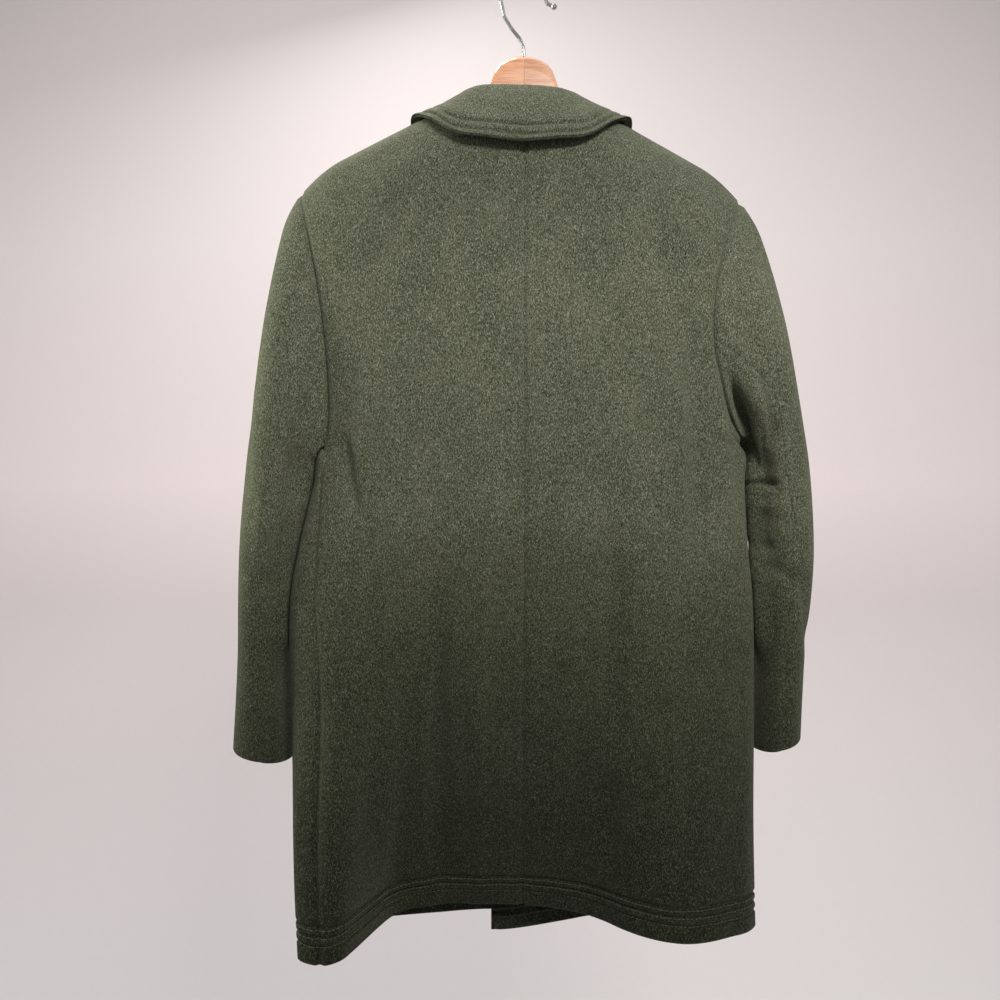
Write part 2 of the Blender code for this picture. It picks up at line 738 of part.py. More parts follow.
def valley_depth(points, groups, normals):
    """At each point that two groups share: above 0 where they meet in a valley, below 0 in a ridge."""
    centres = {}
    for key, faces in groups.items():
        for face in faces:
            middle = points[list(face)].mean(axis=0)
            for k in face:
                centres.setdefault(k, {}).setdefault(key, []).append(middle)
    depth = {}
    for k, found in centres.items():
        if len(found) < 2:
            continue
        rises = []
        for key in found:
            away = np.mean([c for other in found if other != key for c in found[other]], axis=0) - points[k]
            rises.append(float(np.dot(normals[key][k], unit(away))))
        depth[k] = sum(rises) / len(rises)
    return depth


def wall(points, faces, own, common, depth, thickness):
    """The closed wall of a panel: points and faces."""
    used = sorted({k for face in faces for k in face})
    border = trimmed(points, faces, own)
    outer = {}
    inner = {}
    for k in used:
        normal = own[k]
        reach = thickness
        if depth.get(k, VALLEY) < VALLEY:
            normal = common[k]
            reach = thickness / max(LEAST_MITRE, float(np.dot(common[k], own[k])))
        shift = border.get(k, 0.0)
        outer[k] = points[k] + shift
        inner[k] = points[k] + shift - normal * reach
    place = {k: n for n, k in enumerate(used)}
    count = len(used)
    vertices = [outer[k] for k in used] + [inner[k] for k in used]
    solid = [[place[k] for k in face] for face in faces]
    solid += [[place[k] + count for k in reversed(face)] for face in faces]
    for a, b, _ in boundary_edges(faces):
        solid.append([place[b], place[a], place[a] + count, place[b] + count])
    return vertices, solid


def add_mesh(name, vertices, faces, look):
    mesh = bpy.data.meshes.new(name)
    mesh.from_pydata([tuple(float(c) for c in v) for v in vertices], [], [list(map(int, f)) for f in faces])
    mesh.validate()
    mesh.shade_smooth()
    mesh.set_sharp_from_angle(angle=math.radians(SHARP_ANGLE))
    made = bpy.data.objects.new(name, mesh)
    made.data.materials.append(material(*look))
    bpy.context.collection.objects.link(made)
    return made


def build_coat():
    garment = Garment()
    grids = {}
    for side in (LEFT, RIGHT):
        for face in ("back", "front"):
            grid = torso_panel(side, face)
            flipped = (side == LEFT) == (face == "back")
            grids[side, face] = (grid, flipped)
            garment.add_panel(f"{face}_{SIDE_NAMES[side]}", "torso", grid, flipped, CLOTH)
        sleeve = sleeve_grid(side)
        flipped = side == RIGHT
        around = list(range(2 * ARMHOLE_STEPS))
        under = around[ELBOW_SEAM_STEP:FOREARM_SEAM_STEP + 1]
        upper = around[FOREARM_SEAM_STEP:] + around[:ELBOW_SEAM_STEP + 1]
        name = f"sleeve_{SIDE_NAMES[side]}"
        garment.add_panel(f"top_{name}", name, sleeve[:, upper], flipped, CLOTH)
        garment.add_panel(f"under_{name}", name, sleeve[:, under], flipped, CLOTH)
    garment.add_panel("collar", "collar", collar_grid(grids), False, COLLAR_CLOTH)
    for name, (vertices, faces) in garment.walls():
        add_mesh(name, vertices, faces, LODEN)
    return grids


def collar_grid(grids):
    """Rows of the collar from the left end to the right end; a column for each neckline point."""
    body = surface_tree(grids.values())
    columns = []
    for side in (LEFT, RIGHT):
        back = grids[side, "back"][0][0, :NECK_STEPS + 1]
        front = grids[side, "front"][0][0, LAP_STEPS:LAP_STEPS + NECK_STEPS + 1]
        places = [0.5 * k / NECK_STEPS for k in range(NECK_STEPS + 1)]
        half = [collar_column(p, place, side, body) for p, place in zip(back, places)]
        half += [
            collar_column(front[NECK_STEPS - k], 0.5 + 0.5 * k / NECK_STEPS, side, body)
            for k in range(1, NECK_STEPS + 1)
        ]
        columns += half[::-1] if side == LEFT else half[1:]
    grid = np.array(columns).transpose(1, 0, 2)[::-1]
    settle(grid, body)
    return grid


def settle(grid, body):
    """Raises the fall of the collar until its faces clear the panels below it."""
    last = FALL_STEPS - 1
    steps = [k / COLLAR_SETTLE_SAMPLES for k in range(COLLAR_SETTLE_SAMPLES + 1)]
    for _ in range(COLLAR_SETTLE_ROUNDS):
        for j in range(last):
            for i in range(grid.shape[1] - 1):
                for u in steps:
                    for v in steps:
                        corners = {
                            (j, i): (1 - u) * (1 - v),
                            (j, i + 1): (1 - u) * v,
                            (j + 1, i): u * (1 - v),
                            (j + 1, i + 1): u * v,
                        }
                        point = sum(grid[key] * share for key, share in corners.items())
                        push = clear_of(body, point, COLLAR_CLEARANCE) - point
                        for key, share in corners.items():
                            if key[0] < last:
                                grid[key] += push * share


def ring_solid(name, rings, look):
    """A closed solid through rings of points, with flat ends."""
    count = len(rings[0])
    vertices = [p for ring in rings for p in ring]
    faces = [list(range(count))[::-1]]
    for j in range(len(rings) - 1):
        for i in range(count):
            k = (i + 1) % count
            faces.append([j * count + i, j * count + k, (j + 1) * count + k, (j + 1) * count + i])
    faces.append([(len(rings) - 1) * count + i for i in range(count)])
    made = add_mesh(name, vertices, faces, look)
    turn_out(made)
    return made


def turn_out(made):
    shape = bmesh.new()
    shape.from_mesh(made.data)
    bmesh.ops.recalc_face_normals(shape, faces=shape.faces)
    if shape.calc_volume(signed=True) < 0:
        bmesh.ops.reverse_faces(shape, faces=shape.faces)
    shape.to_mesh(made.data)
    shape.free()
    made.data.shade_smooth()
    made.data.set_sharp_from_angle(angle=math.radians(SHARP_ANGLE))


def button(number, body):
    """A round button with a raised rim, on a short shank against the front."""
    z = FIRST_BUTTON_Z - BUTTON_STEP * (number - 1)
    hit, _, _, _ = body.ray_cast(Vector((0.0, BUTTON_SIGHT_Y, z)), Vector((0.0, -1.0, 0.0)))
    seat = hit.y + SEAM_GAP
    inner = BUTTON_RADIUS - BUTTON_RIM
    face = seat + BUTTON_SHANK + BUTTON_THICKNESS - BUTTON_RIM_RISE
    profile = (
        (BUTTON_SHANK_RADIUS, seat),
        (BUTTON_SHANK_RADIUS, seat + BUTTON_SHANK),
        (inner, seat + BUTTON_SHANK),
        (BUTTON_RADIUS, seat + BUTTON_SHANK + BUTTON_RIM_RISE),
        (BUTTON_RADIUS, face - BUTTON_RIM_RISE / 2),
        (BUTTON_RADIUS - BUTTON_RIM / 2, face + BUTTON_RIM_RISE),
        (inner, face),
    )
    rings = []
    for radius, y in profile:
        turns = [2 * math.pi * k / BUTTON_SIDES for k in range(BUTTON_SIDES)]
        rings.append([(radius * math.cos(t), y, z + radius * math.sin(t)) for t in turns])
    ring_solid(f"button_{number}", rings, HORN)


def hanger_top(side, x):
    """The top line of a hanger arm, safely under the cloth of the shoulder seam and of the collar."""
    dip = COLLAR_DIP * smoothstep((COLLAR_SEAT_TO - x) / COLLAR_SEAT_FADE)
    return float(shoulder_z(side, x)) - HANGER_FREE_DROP - dip


def seated(ring, body):
    """A ring of a hanger arm, raised until it lies just under the cloth."""
    for _ in range(HANGER_SEAT_ROUNDS):
        near = min((Vector(p) - body.find_nearest(Vector(p))[0]).length for p in ring)
        ring[:, 2] += near - CLOTH - HANGER_SEAT_GAP
    return ring


def hanger_half(side, body):
    """One wooden half: the crown's rounded shoulder, then the sloping arm to its rounded tip."""
    rings = []
    joint = side * HANGER_JOINT_X + SEAM_GAP / 2
    crown = [(x + joint, CROWN_Z + drop) for x, drop in CROWN_CURVE]
    start = CROWN_HALF_WIDTH + ARM_START
    step = (SHOULDERS[side]["tip_x"] - NECK_HALF_WIDTH) / SHOULDER_STEPS
    arm = [start + (NECK_HALF_WIDTH - start) * k / ARM_STEPS for k in range(ARM_STEPS)]
    arm += [NECK_HALF_WIDTH + step * k for k in range(SHOULDER_STEPS)]
    for x, top in crown + [(x, None) for x in arm]:
        reach = max(0.0, (x - start) / (arm[-1] - start))
        height = HANGER_ARM_HEIGHT + (HANGER_TIP_HEIGHT - HANGER_ARM_HEIGHT) * reach
        top = hanger_top(side, x) if top is None else top
        foot = min(CROWN_FOOT_Z, hanger_top(side, x) - height) if x < start else top - height
        thick = HANGER_THICKNESS + (HANGER_TIP_THICKNESS - HANGER_THICKNESS) * reach
        y = float(shoulder_y(side, max(x, NECK_HALF_WIDTH)))
        ring = hanger_section(side * x, y, top, foot, thick)
        rings.append(seated(ring, body) if x > COLLAR_SEAT_TO else ring)
    tip = rings[-1]
    middle = tip.mean(axis=0)
    for push, shrink in TIP_RINGS:
        ring = middle + (tip - middle) * shrink
        ring[:, 0] += side * push
        ring[:, 2] -= push * TIP_FALL
        rings.append(ring)
    ring_solid(f"hanger_{SIDE_NAMES[side]}", rings, WOOD)


def hanger_section(x, y, top, foot, thick):
    points = []
    for k in range(HANGER_SIDES):
        turn = 2 * math.pi * k / HANGER_SIDES
        across = math.copysign(abs(math.cos(turn)) ** HANGER_FLATNESS, math.cos(turn))
        rise = math.copysign(abs(math.sin(turn)) ** HANGER_ROUNDNESS, math.sin(turn))
        points.append((x, y + across * thick / 2, (top + foot) / 2 + rise * (top - foot) / 2))
    points = np.array(points)
    low, high = points[:, 2].min(), points[:, 2].max()
    points[:, 2] = foot + (points[:, 2] - low) * (top - foot) / (high - low)
    return points


def hook():
    """The wire hook: up from the crown, round the hanging point, out to its small ball end."""
    centre_z = -(HOOK_RADIUS - WIRE_RADIUS)
    route = [(x, z) for x, z in HOOK_ROUTE]
    for k in range(HOOK_ARC_STEPS + 1):
        turn = math.radians(HOOK_ARC_FROM + (HOOK_ARC_TO - HOOK_ARC_FROM) * k / HOOK_ARC_STEPS)
        route.append((HOOK_RADIUS * math.cos(turn), centre_z + HOOK_RADIUS * math.sin(turn)))
    route += list(HOOK_FLICK)
    route = np.array(route)
    rings = []
    ways = []
    for k, (x, z) in enumerate(route):
        way = unit(route[min(k + 1, len(route) - 1)] - route[max(k - 1, 0)])
        ways.append(way)
        rings.append(wire_ring(x, z, way, WIRE_RADIUS))
    end = route[-1]
    for k in range(1, HOOK_BALL_STEPS):
        turn = math.pi * (HOOK_BALL_NECK + (1 - HOOK_BALL_NECK) * k / HOOK_BALL_STEPS)
        along = HOOK_BALL_RADIUS * (math.cos(HOOK_BALL_NECK * math.pi) - math.cos(turn))
        x, z = end + ways[-1] * along
        rings.append(wire_ring(x, z, ways[-1], HOOK_BALL_RADIUS * math.sin(turn)))
    ring_solid("hanger_hook", rings, STEEL)


def wire_ring(x, z, way, radius):
    points = []
    for k in range(WIRE_SIDES):
        turn = 2 * math.pi * k / WIRE_SIDES
        side = radius * math.cos(turn)
        points.append((x - way[1] * side, radius * math.sin(turn), z + way[0] * side))
    return np.array(points)


def build():
    clear_scene()
    grids = build_coat()
    body = surface_tree(grids.values())
    for number in range(1, BUTTON_COUNT + 1):
        button(number, body)
    for side in (LEFT, RIGHT):
        hanger_half(side, body)
    hook()


build()
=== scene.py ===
"""Looks of the loden topcoat on its hanger: cloth shells, sewing, nap and finish.

Metres, in the frame's axes: +X the wearer's right, -Y the coat's back, +Z up.
Each cloth solid is a wall made from a grid of points. Its outer grid is read back from
the frame, refined to a smooth one, creased, and closed again as a wall with soft edges.
"""

import math

import bmesh
import bpy
import numpy as np
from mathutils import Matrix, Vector
from mathutils.bvhtree import BVHTree


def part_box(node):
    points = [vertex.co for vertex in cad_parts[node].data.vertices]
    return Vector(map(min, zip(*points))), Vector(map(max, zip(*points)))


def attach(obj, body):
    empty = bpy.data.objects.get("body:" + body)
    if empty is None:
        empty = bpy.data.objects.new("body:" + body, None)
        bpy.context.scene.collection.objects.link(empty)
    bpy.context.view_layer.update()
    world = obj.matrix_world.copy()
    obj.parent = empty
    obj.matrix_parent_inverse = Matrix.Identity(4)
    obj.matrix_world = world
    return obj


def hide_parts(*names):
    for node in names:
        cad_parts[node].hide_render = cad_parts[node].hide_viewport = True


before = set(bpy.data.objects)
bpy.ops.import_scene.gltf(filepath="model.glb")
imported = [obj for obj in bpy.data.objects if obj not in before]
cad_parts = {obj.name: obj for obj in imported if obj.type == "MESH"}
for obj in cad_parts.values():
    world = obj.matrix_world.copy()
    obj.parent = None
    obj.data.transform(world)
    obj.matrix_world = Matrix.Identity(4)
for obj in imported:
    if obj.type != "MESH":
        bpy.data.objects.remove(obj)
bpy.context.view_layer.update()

MICRONS = 1e6
TINY = 1e-12

# Thickness of the cloth, and the faces round its edges
CLOTH = 0.0026
COLLAR_CLOTH = 0.0034
EDGE_STEPS = 4
EDGE_INSET = 2
# Spacing of the fine points, and where there is sewing
POINT_STEP = 0.0048
FINE_STEP = 0.0012

BORDERS = ("top", "foot", "first", "last")
LEFT = -1
RIGHT = 1
FORWARD = np.array((0.0, 1.0, 0.0))
SIDE_NAMES = {LEFT: "left", RIGHT: "right"}
# The columns of a torso panel at the shoulder seam, and its rows along the armhole
SHOULDER_COLUMNS = 8
ARMHOLE_ROWS = 9
# The rows and columns of each solid's grids
GRID_SIZES = {
    "back": (24, 13),
    "front": (24, 15),
    "top": (16, 12),
    "under": (16, 8),
    "collar": (13, 17),
}

# Creases: the line of each in X and Z, its half width, and how far it stands out,
# or lies in where the depth is below 0
CREASE_COLUMNS = ("part", "x_top", "z_top", "x_foot", "z_foot", "half_width", "depth")
CREASES = (
    ("back", -0.090, -0.640, -0.094, -1.000, 0.020, -0.0080),
    ("back", -0.050, -0.600, -0.048, -1.020, 0.018, 0.0042),
    ("back", 0.090, -0.590, 0.094, -0.830, 0.020, -0.0067),
    ("back", 0.086, -0.850, 0.092, -0.960, 0.024, -0.0070),
    ("back", 0.176, -0.380, 0.184, -0.640, 0.018, -0.0086),
    ("back", 0.200, -0.430, 0.216, -0.600, 0.014, 0.0054),
    ("back", -0.192, -0.500, -0.174, -0.590, 0.013, -0.0070),
    ("back", -0.160, -0.430, -0.172, -0.560, 0.018, 0.0045),
    ("back", -0.140, -0.700, -0.150, -0.960, 0.022, 0.0054),
    ("back", 0.145, -0.700, 0.150, -1.000, 0.024, 0.0054),
    ("back", -0.120, -0.240, -0.150, -0.330, 0.026, -0.0038),
    ("back", 0.120, -0.250, 0.150, -0.340, 0.026, -0.0032),
    ("back", 0.0135, -0.215, 0.0125, -1.030, 0.006, 0.0008),
    ("back", -0.0165, -0.215, -0.0185, -1.030, 0.006, 0.0008),
    ("front", 0.175, -0.410, 0.165, -0.620, 0.020, -0.0080),
    ("front", -0.170, -0.410, -0.160, -0.640, 0.022, -0.0080),
    ("front", 0.110, -0.640, 0.120, -0.980, 0.026, 0.0054),
    ("front", -0.105, -0.620, -0.118, -0.990, 0.024, 0.0054),
    ("front", 0.070, -0.700, 0.066, -0.960, 0.022, -0.0058),
    ("front", -0.072, -0.720, -0.070, -0.990, 0.024, -0.0054),
    ("fold", 0.2175, -0.446, 0.2500, -0.534, 0.0085, -0.0260),
    ("fold", 0.2370, -0.446, 0.2650, -0.530, 0.0100, 0.0070),
    ("sleeve", 0.236, -0.550, 0.268, -0.554, 0.006, -0.0090),
    ("sleeve", 0.236, -0.576, 0.276, -0.580, 0.010, 0.0030),
    ("sleeve", 0.246, -0.600, 0.262, -0.628, 0.011, -0.0048),
    ("sleeve", 0.262, -0.640, 0.300, -0.668, 0.014, -0.0034),
    ("sleeve", 0.296, -0.650, 0.306, -0.730, 0.010, -0.0040),
    ("sleeve", 0.226, -0.380, 0.240, -0.424, 0.016, -0.0034),
    ("sleeve", -0.232, -0.455, -0.246, -0.560, 0.013, -0.0050),
    ("sleeve", -0.274, -0.560, -0.276, -0.690, 0.012, 0.0036),
    ("sleeve", -0.236, -0.712, -0.268, -0.708, 0.010, -0.0044),
    ("sleeve", -0.262, -0.664, -0.300, -0.640, 0.015, -0.0030),
    ("sleeve", -0.290, -0.470, -0.296, -0.600, 0.012, -0.0024),
    ("sleeve_front", 0.240, -0.470, 0.262, -0.560, 0.014, -0.0060),
    ("sleeve_front", 0.252, -0.600, 0.298, -0.622, 0.013, -0.0050),
    ("sleeve_front", 0.258, -0.650, 0.300, -0.682, 0.014, -0.0036),
    ("sleeve_front", -0.238, -0.470, -0.258, -0.570, 0.014, -0.0060),
    ("sleeve_front", -0.252, -0.618, -0.300, -0.640, 0.013, -0.0050),
    ("sleeve_front", -0.256, -0.670, -0.302, -0.700, 0.015, -0.0034),
)

# A crease's line wavers by a share of its half width, and its ends fade past its length
CREASE_WAVER = 0.10
WAVER_ALONG = 9.0
WAVER_START = 90
CREASE_PAST = 0.15
CREASE_FADE = 0.45
# A crease fades where the cloth turns away from its side, and a fold goes further round
FACING_FADE = 2.2
FOLD_WRAP = 0.5

# Rows of sewing: how far each lies from the edge
HEM_ROWS = (0.0175, 0.0268, 0.0360)
COLLAR_ROWS = (0.0075, 0.0180)
SEWN_BAND = 0.042
STITCH_LENGTH = 0.0034
STITCH_PITCH = 0.0045
STITCH_RADIUS = 0.00030
STITCH_SIDES = 6
# A thread's half section: shares of its length and of its radius
THREAD_PROFILE = ((0.0, 0.35), (0.12, 0.85), (0.5, 1.0), (0.88, 0.85), (1.0, 0.35))
STITCH_RISE = 0.00012
GROOVE_HALF_WIDTH = 0.0032
GROOVE_DEPTH = 0.0022
# How far the cloth lies in at each sewn border, and how far beside it that shows
SEAM_SOFT = 0.0050
SEAMS = {
    "back": {"top": 0.0012, "first": 0.0022, "last": 0.0024},
    "front": {"top": 0.0012, "last": 0.0024},
    "sleeve": {"top": 0.0024, "first": 0.0008, "last": 0.0008},
}
SEAM_BAND = 0.0060
SEAM_STEP = 0.0020
# How far a sewn border goes past the seam
SEAM_CLOSE = 0.0009

# Where the sleeves rest against the body
REST_TOP = {LEFT: -0.48, RIGHT: -0.50}
REST_FOOT = -0.74
REST_FADE = 0.03
REST_REACH = 0.016
REST_GAP = 0.0010
REST_SPREAD = 2
REST_SOFTENING = 4
REST_FACING = 0.2

# The armhole's seam allowance: how far along, and how far under the cloth
ALLOWANCE = ((0.0012, 0.0012), (0.0030, 0.0030), (0.0080, 0.0042))

# How far inside the back or front the point is that its normals face away from
TORSO_INSIDE = 0.05
COLLAR_SEWN_BAND = 0.026
COLLAR_FALL_ROW = -10

# A button's half section: shares of its radius and of its depth, from the back
BUTTON_PROFILE = (
    (0.22, 0.0), (0.22, 0.30), (0.80, 0.30), (0.94, 0.40), (1.0, 0.55), (1.0, 0.74),
    (0.965, 0.92), (0.91, 1.0), (0.85, 0.98), (0.79, 0.86), (0.70, 0.80), (0.40, 0.78),
)
BUTTON_COUNT = 4
BUTTON_SIDES = 64
BUTTON_SHARP = math.radians(32)
BUTTON_HOLE_RADIUS = 0.0011
BUTTON_HOLE_OFFSET = 0.0021
BUTTON_HOLE_SIDES = 20
BUTTON_HOLE_CUT = 1.3
BUTTON_THREAD_LEVEL = 0.80
BUTTON_THREAD_RADIUS = 0.00045
BUTTON_THREAD_SHIFT = 0.0004
BUTTONHOLE_LENGTH = 0.024
BUTTONHOLE_WIDTH = 0.0034
BUTTONHOLE_PAST = 0.004
BUTTONHOLE_SLIT = 0.12
BUTTONHOLE_BARS = 30
BAR_RADIUS = 0.00042
THREAD_SIT = 0.0002
THREAD_BOW = 0.0001

CAMERA_PLACE = (-0.025, -0.82, -0.571)
CAMERA_LENS = 27.0
SENSOR_WIDTH = 36.0

# Painted light and shade on the cloth, by height between these two levels: its colour is painted
# darker toward the hem, where less light falls
PAINTED_SHADE_LOW = -1.08
PAINTED_SHADE_HIGH = -0.10

WOOD_LIGHTNESS = {"left": 0.72, "right": 0.62}
WALL_COLOUR = (0.80, 0.735, 0.735)
WALL_GRAIN = 0.985
# Painted light and shade on the wall, by height from SHADE_FOOT up to SHADE_TOP: lightest a little
# below the middle, darker toward the floor and the top
SHADE_FOOT = -2.0
SHADE_TOP = 1.3
WALL_PAINTED_SHADE = (
    (0.0, (0.70, 0.73, 0.74)),
    (0.45, (1.0, 0.98, 0.98)),
    (0.72, (0.80, 0.80, 0.80)),
    (1.0, (0.50, 0.50, 0.50)),
)
FLOOR_Z = -2.05
WALL_Y = 2.0
SWEEP_RADIUS = 1.1
SWEEP_STEPS = 24
STAGE_REACH = 6.0
STAGE_TOP = 3.6

WORLD_COLOUR = (1.0, 0.985, 0.97, 1.0)
WORLD_STRENGTH = 0.50
LIGHT_COLUMNS = ("name", "place", "target", "size", "power", "colour", "spread")
LIGHTS = (
    ("key", (0.38, -1.05, 0.34), (0.0, 0.0, -0.45), (0.5, 0.25), 21.0, (1.0, 0.975, 0.945), 180),
    ("left", (-1.6, 0.05, 0.1), (-0.2, 0.0, -0.5), (0.4, 1.0), 6.0, (0.97, 1.0, 0.78), 70),
    ("behind", (-0.5, 1.3, 1.7), (0.0, 0.0, -0.5), (1.0, 0.6), 34.0, (1.0, 0.985, 0.97), 180),
    ("backdrop_light", (0.0, 0.3, 2.6), (0.0, 2.0, -0.9), (4.0, 0.6), 88.0,
     (1.0, 0.985, 0.97), 180),
)


def unit(vectors):
    size = np.linalg.norm(vectors, axis=-1, keepdims=True)
    return vectors / np.maximum(size, TINY)


def smoothstep(value):
    value = np.clip(value, 0.0, 1.0)
    return value * value * (3.0 - 2.0 * value)


# Reading the grids back from the frame

class Wall:
    """A closed wall whose two skins are grids of points with the same rows and columns."""

    def __init__(self, node, rows, columns):
        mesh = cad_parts[node].data
        numbers = {}
        self.points = []
        corner_of = []
        for vertex in mesh.vertices:
            key = tuple(round(c * MICRONS) for c in vertex.co)
            if key not in numbers:
                numbers[key] = len(self.points)
                self.points.append(tuple(vertex.co))
            corner_of.append(numbers[key])
        self.points = np.array(self.points)
        self.shape = (rows, columns)
        self.thirds = {}
        for face in mesh.polygons:
            corners = [corner_of[v] for v in face.vertices]
            for k in range(3):
                edge = (corners[k], corners[(k + 1) % 3])
                self.thirds.setdefault(frozenset(edge), []).append(corners[(k + 2) % 3])

    def length(self, a, b):
        return float(np.linalg.norm(self.points[a] - self.points[b]))

    def across(self, a, b, behind):
        """The third corner of the triangle on an edge, on the side away from a point."""
        found = self.thirds[frozenset((a, b))]
        return found[1] if found[0] == behind else found[0]

    def rim(self):
        """The borders of the two skins, as two lists of points in step."""
        count = 2 * sum(self.shape) - 4
        for edge in sorted(self.thirds, key=lambda e: self.length(*e)):
            pairs = self.round_from(tuple(edge), count)
            if pairs is not None:
                return pairs
        raise ValueError("no rim found")

    def round_from(self, start, count):
        """The borders found by going round from an edge across the wall, or nothing."""
        a, b = start
        lead = self.thirds[frozenset(start)][0]
        firsts, seconds = [a], [b]
        for _ in range(count):
            by_first = self.across(a, lead, b)
            by_second = self.across(b, lead, a)
            if self.length(by_first, lead) < self.length(by_second, lead):
                behind, a, b = a, by_first, lead
            else:
                behind, a, b = b, lead, by_second
            firsts.append(a)
            seconds.append(b)
            lead = self.across(a, b, behind)
        closed = (firsts[-1], seconds[-1]) == start
        whole = len(set(firsts[1:] + seconds[1:])) == 2 * count
        return (firsts[:-1], seconds[:-1]) if closed and whole else None

    def skin(self, loop, other):
        """The grid of points within a border, or nothing if its corners are elsewhere."""
        rows, columns = self.shape
        line = loop[:columns]
        right = loop[columns - 1:columns + rows - 1]
        left = [loop[0]] + loop[:-rows:-1]
        behind = [other[k] for k in range(columns)]
        lines = [line]
        for j in range(1, rows):
            following = [left[j]]
            for i in range(columns - 1):
                third = self.across_strip(line[i], line[i + 1], behind[i], behind[i + 1])
                if third == following[i]:
                    third = self.across(line[i + 1], following[i], line[i])
                following.append(third)
            if following[-1] != right[j] or len(set(following)) < columns:
                return None
            behind = line
            line = following
            lines.append(line)
        if line[::-1] != loop[columns + rows - 2:2 * columns + rows - 2]:
            return None
        return np.array([[self.points[p] for p in row] for row in lines])

    def any_skin(self, loop, other):
        """The grid within a border, whichever of its points is the first corner."""
        for k in range(len(loop)):
            try:
                grid = self.skin(loop[k:] + loop[:k], other[k:] + other[:k])
            except KeyError:
                continue
            if grid is not None:
                return grid
        return None

    def across_strip(self, a, b, behind_a, behind_b):
        """The third corner on an edge, on the side away from the line behind it."""
        found = self.thirds[frozenset((a, b))]
        return found[1] if found[0] in (behind_a, behind_b) else found[0]

    def outer(self, is_first):
        """The larger skin, turned so that is_first holds for it."""
        first, second = self.rim()
        skins = [self.any_skin(first, second), self.any_skin(second, first)]
        grid = max((skin for skin in skins if skin is not None), key=grid_area)
        for way in (grid, grid[::-1], grid[:, ::-1], grid[::-1, ::-1]):
            if is_first(way):
                return way
        raise ValueError("no way round fits")


def from_the_top(first_of):
    """A test of whether a grid starts at its upper border and where first_of is least."""
    def holds(grid):
        falls = grid[0, :, 2].mean() > grid[-1, :, 2].mean()
        first, last = grid[:, 0].mean(axis=0), grid[:, -1].mean(axis=0)
        return falls and first_of(first) < first_of(last)
    return holds


def from_the_neck(grid):
    """Whether the collar's grid starts at its shorter border and on the left."""
    first = np.linalg.norm(np.diff(grid[0], axis=0), axis=1).sum()
    last = np.linalg.norm(np.diff(grid[-1], axis=0), axis=1).sum()
    return first < last and grid[:, 0, 0].mean() < grid[:, -1, 0].mean()


def grid_area(grid):
    across = grid[1:, 1:] - grid[:-1, :-1]
    other = grid[1:, :-1] - grid[:-1, 1:]
    return float(np.linalg.norm(np.cross(across, other), axis=-1).sum() / 2)


# Refining the grids

def places_of(grid):
    """The mean distance down the grid at each of its rows."""
    steps = np.linalg.norm(np.diff(grid, axis=0), axis=-1).mean(axis=1)
    return np.concatenate([[0.0], np.cumsum(steps)])


def fine_places(places, bands=()):
    """Even places between the first and last, and closer ones in the bands.

    A band is its start, its end and its step.
    """
    marks = [places[0]]
    for a, b in zip(places, places[1:]):
        count = max(1, round((b - a) / POINT_STEP))
        marks.extend(a + (b - a) * (k + 1) / count for k in range(count))
    marks = np.array(marks)
    for start, end, step in bands:
        start, end = max(start, places[0]), min(end, places[-1])
        dense = np.linspace(start, end, max(2, round((end - start) / step)) + 1)
        kept = marks[(marks < start - step) | (marks > end + step)]
        marks = np.sort(np.concatenate([kept, dense]))
    return marks


def seam_bands(places, columns):
    """The bands on both sides of the seams at these columns."""
    return [(places[k] - SEAM_BAND, places[k] + SEAM_BAND, SEAM_STEP) for k in columns]


def refined(grid, places, marks, before=None, after=None):
    """The grid read smoothly at the marks, down its first axis.

    before and after are the lines of points beyond it, on the piece that it is sewn to.
    """
    before = 2 * grid[0] - grid[1] if before is None else before
    after = 2 * grid[-1] - grid[-2] if after is None else after
    wide = np.concatenate([[places[0] * 2 - places[1]], places, [places[-1] * 2 - places[-2]]])
    rows = np.concatenate([before[None], grid, after[None]])
    steps = np.diff(wide)[:, None, None]
    rises = np.diff(rows, axis=0) / steps
    slopes = (rises[:-1] * steps[1:] + rises[1:] * steps[:-1]) / (steps[:-1] + steps[1:])
    k = np.clip(np.searchsorted(places, marks, side="right") - 1, 0, len(places) - 2)
    h = (places[k + 1] - places[k])[:, None, None]
    t = ((marks - places[k])[:, None, None]) / h
    start = grid[k] * (1 + 2 * t) * (1 - t) ** 2 + slopes[k] * h * t * (1 - t) ** 2
    end = grid[k + 1] * t * t * (3 - 2 * t) + slopes[k + 1] * h * t * t * (t - 1)
    return start + end


def turned(grid):
    return grid.transpose(1, 0, 2)


def normals_of(grid, closed=False):
    """Normals of a grid whose rows go down and whose columns go round to its right."""
    if closed:
        wide = np.concatenate([grid[:, -2:-1], grid, grid[:, 1:2]], axis=1)
        across = (wide[:, 2:] - wide[:, :-2]) / 2
    else:
        across = np.gradient(grid, axis=1)
    down = np.gradient(grid, axis=0)
    return unit(np.cross(down, across))


class Cloth:
    """A fine grid of one sewn piece and its normals."""

    def __init__(self, points, normals):
        self.points = points
        self.normals = normals

    def part(self, first, last):
        chosen = slice(first, last + 1)
        return Cloth(self.points[:, chosen].copy(), self.normals[:, chosen].copy())


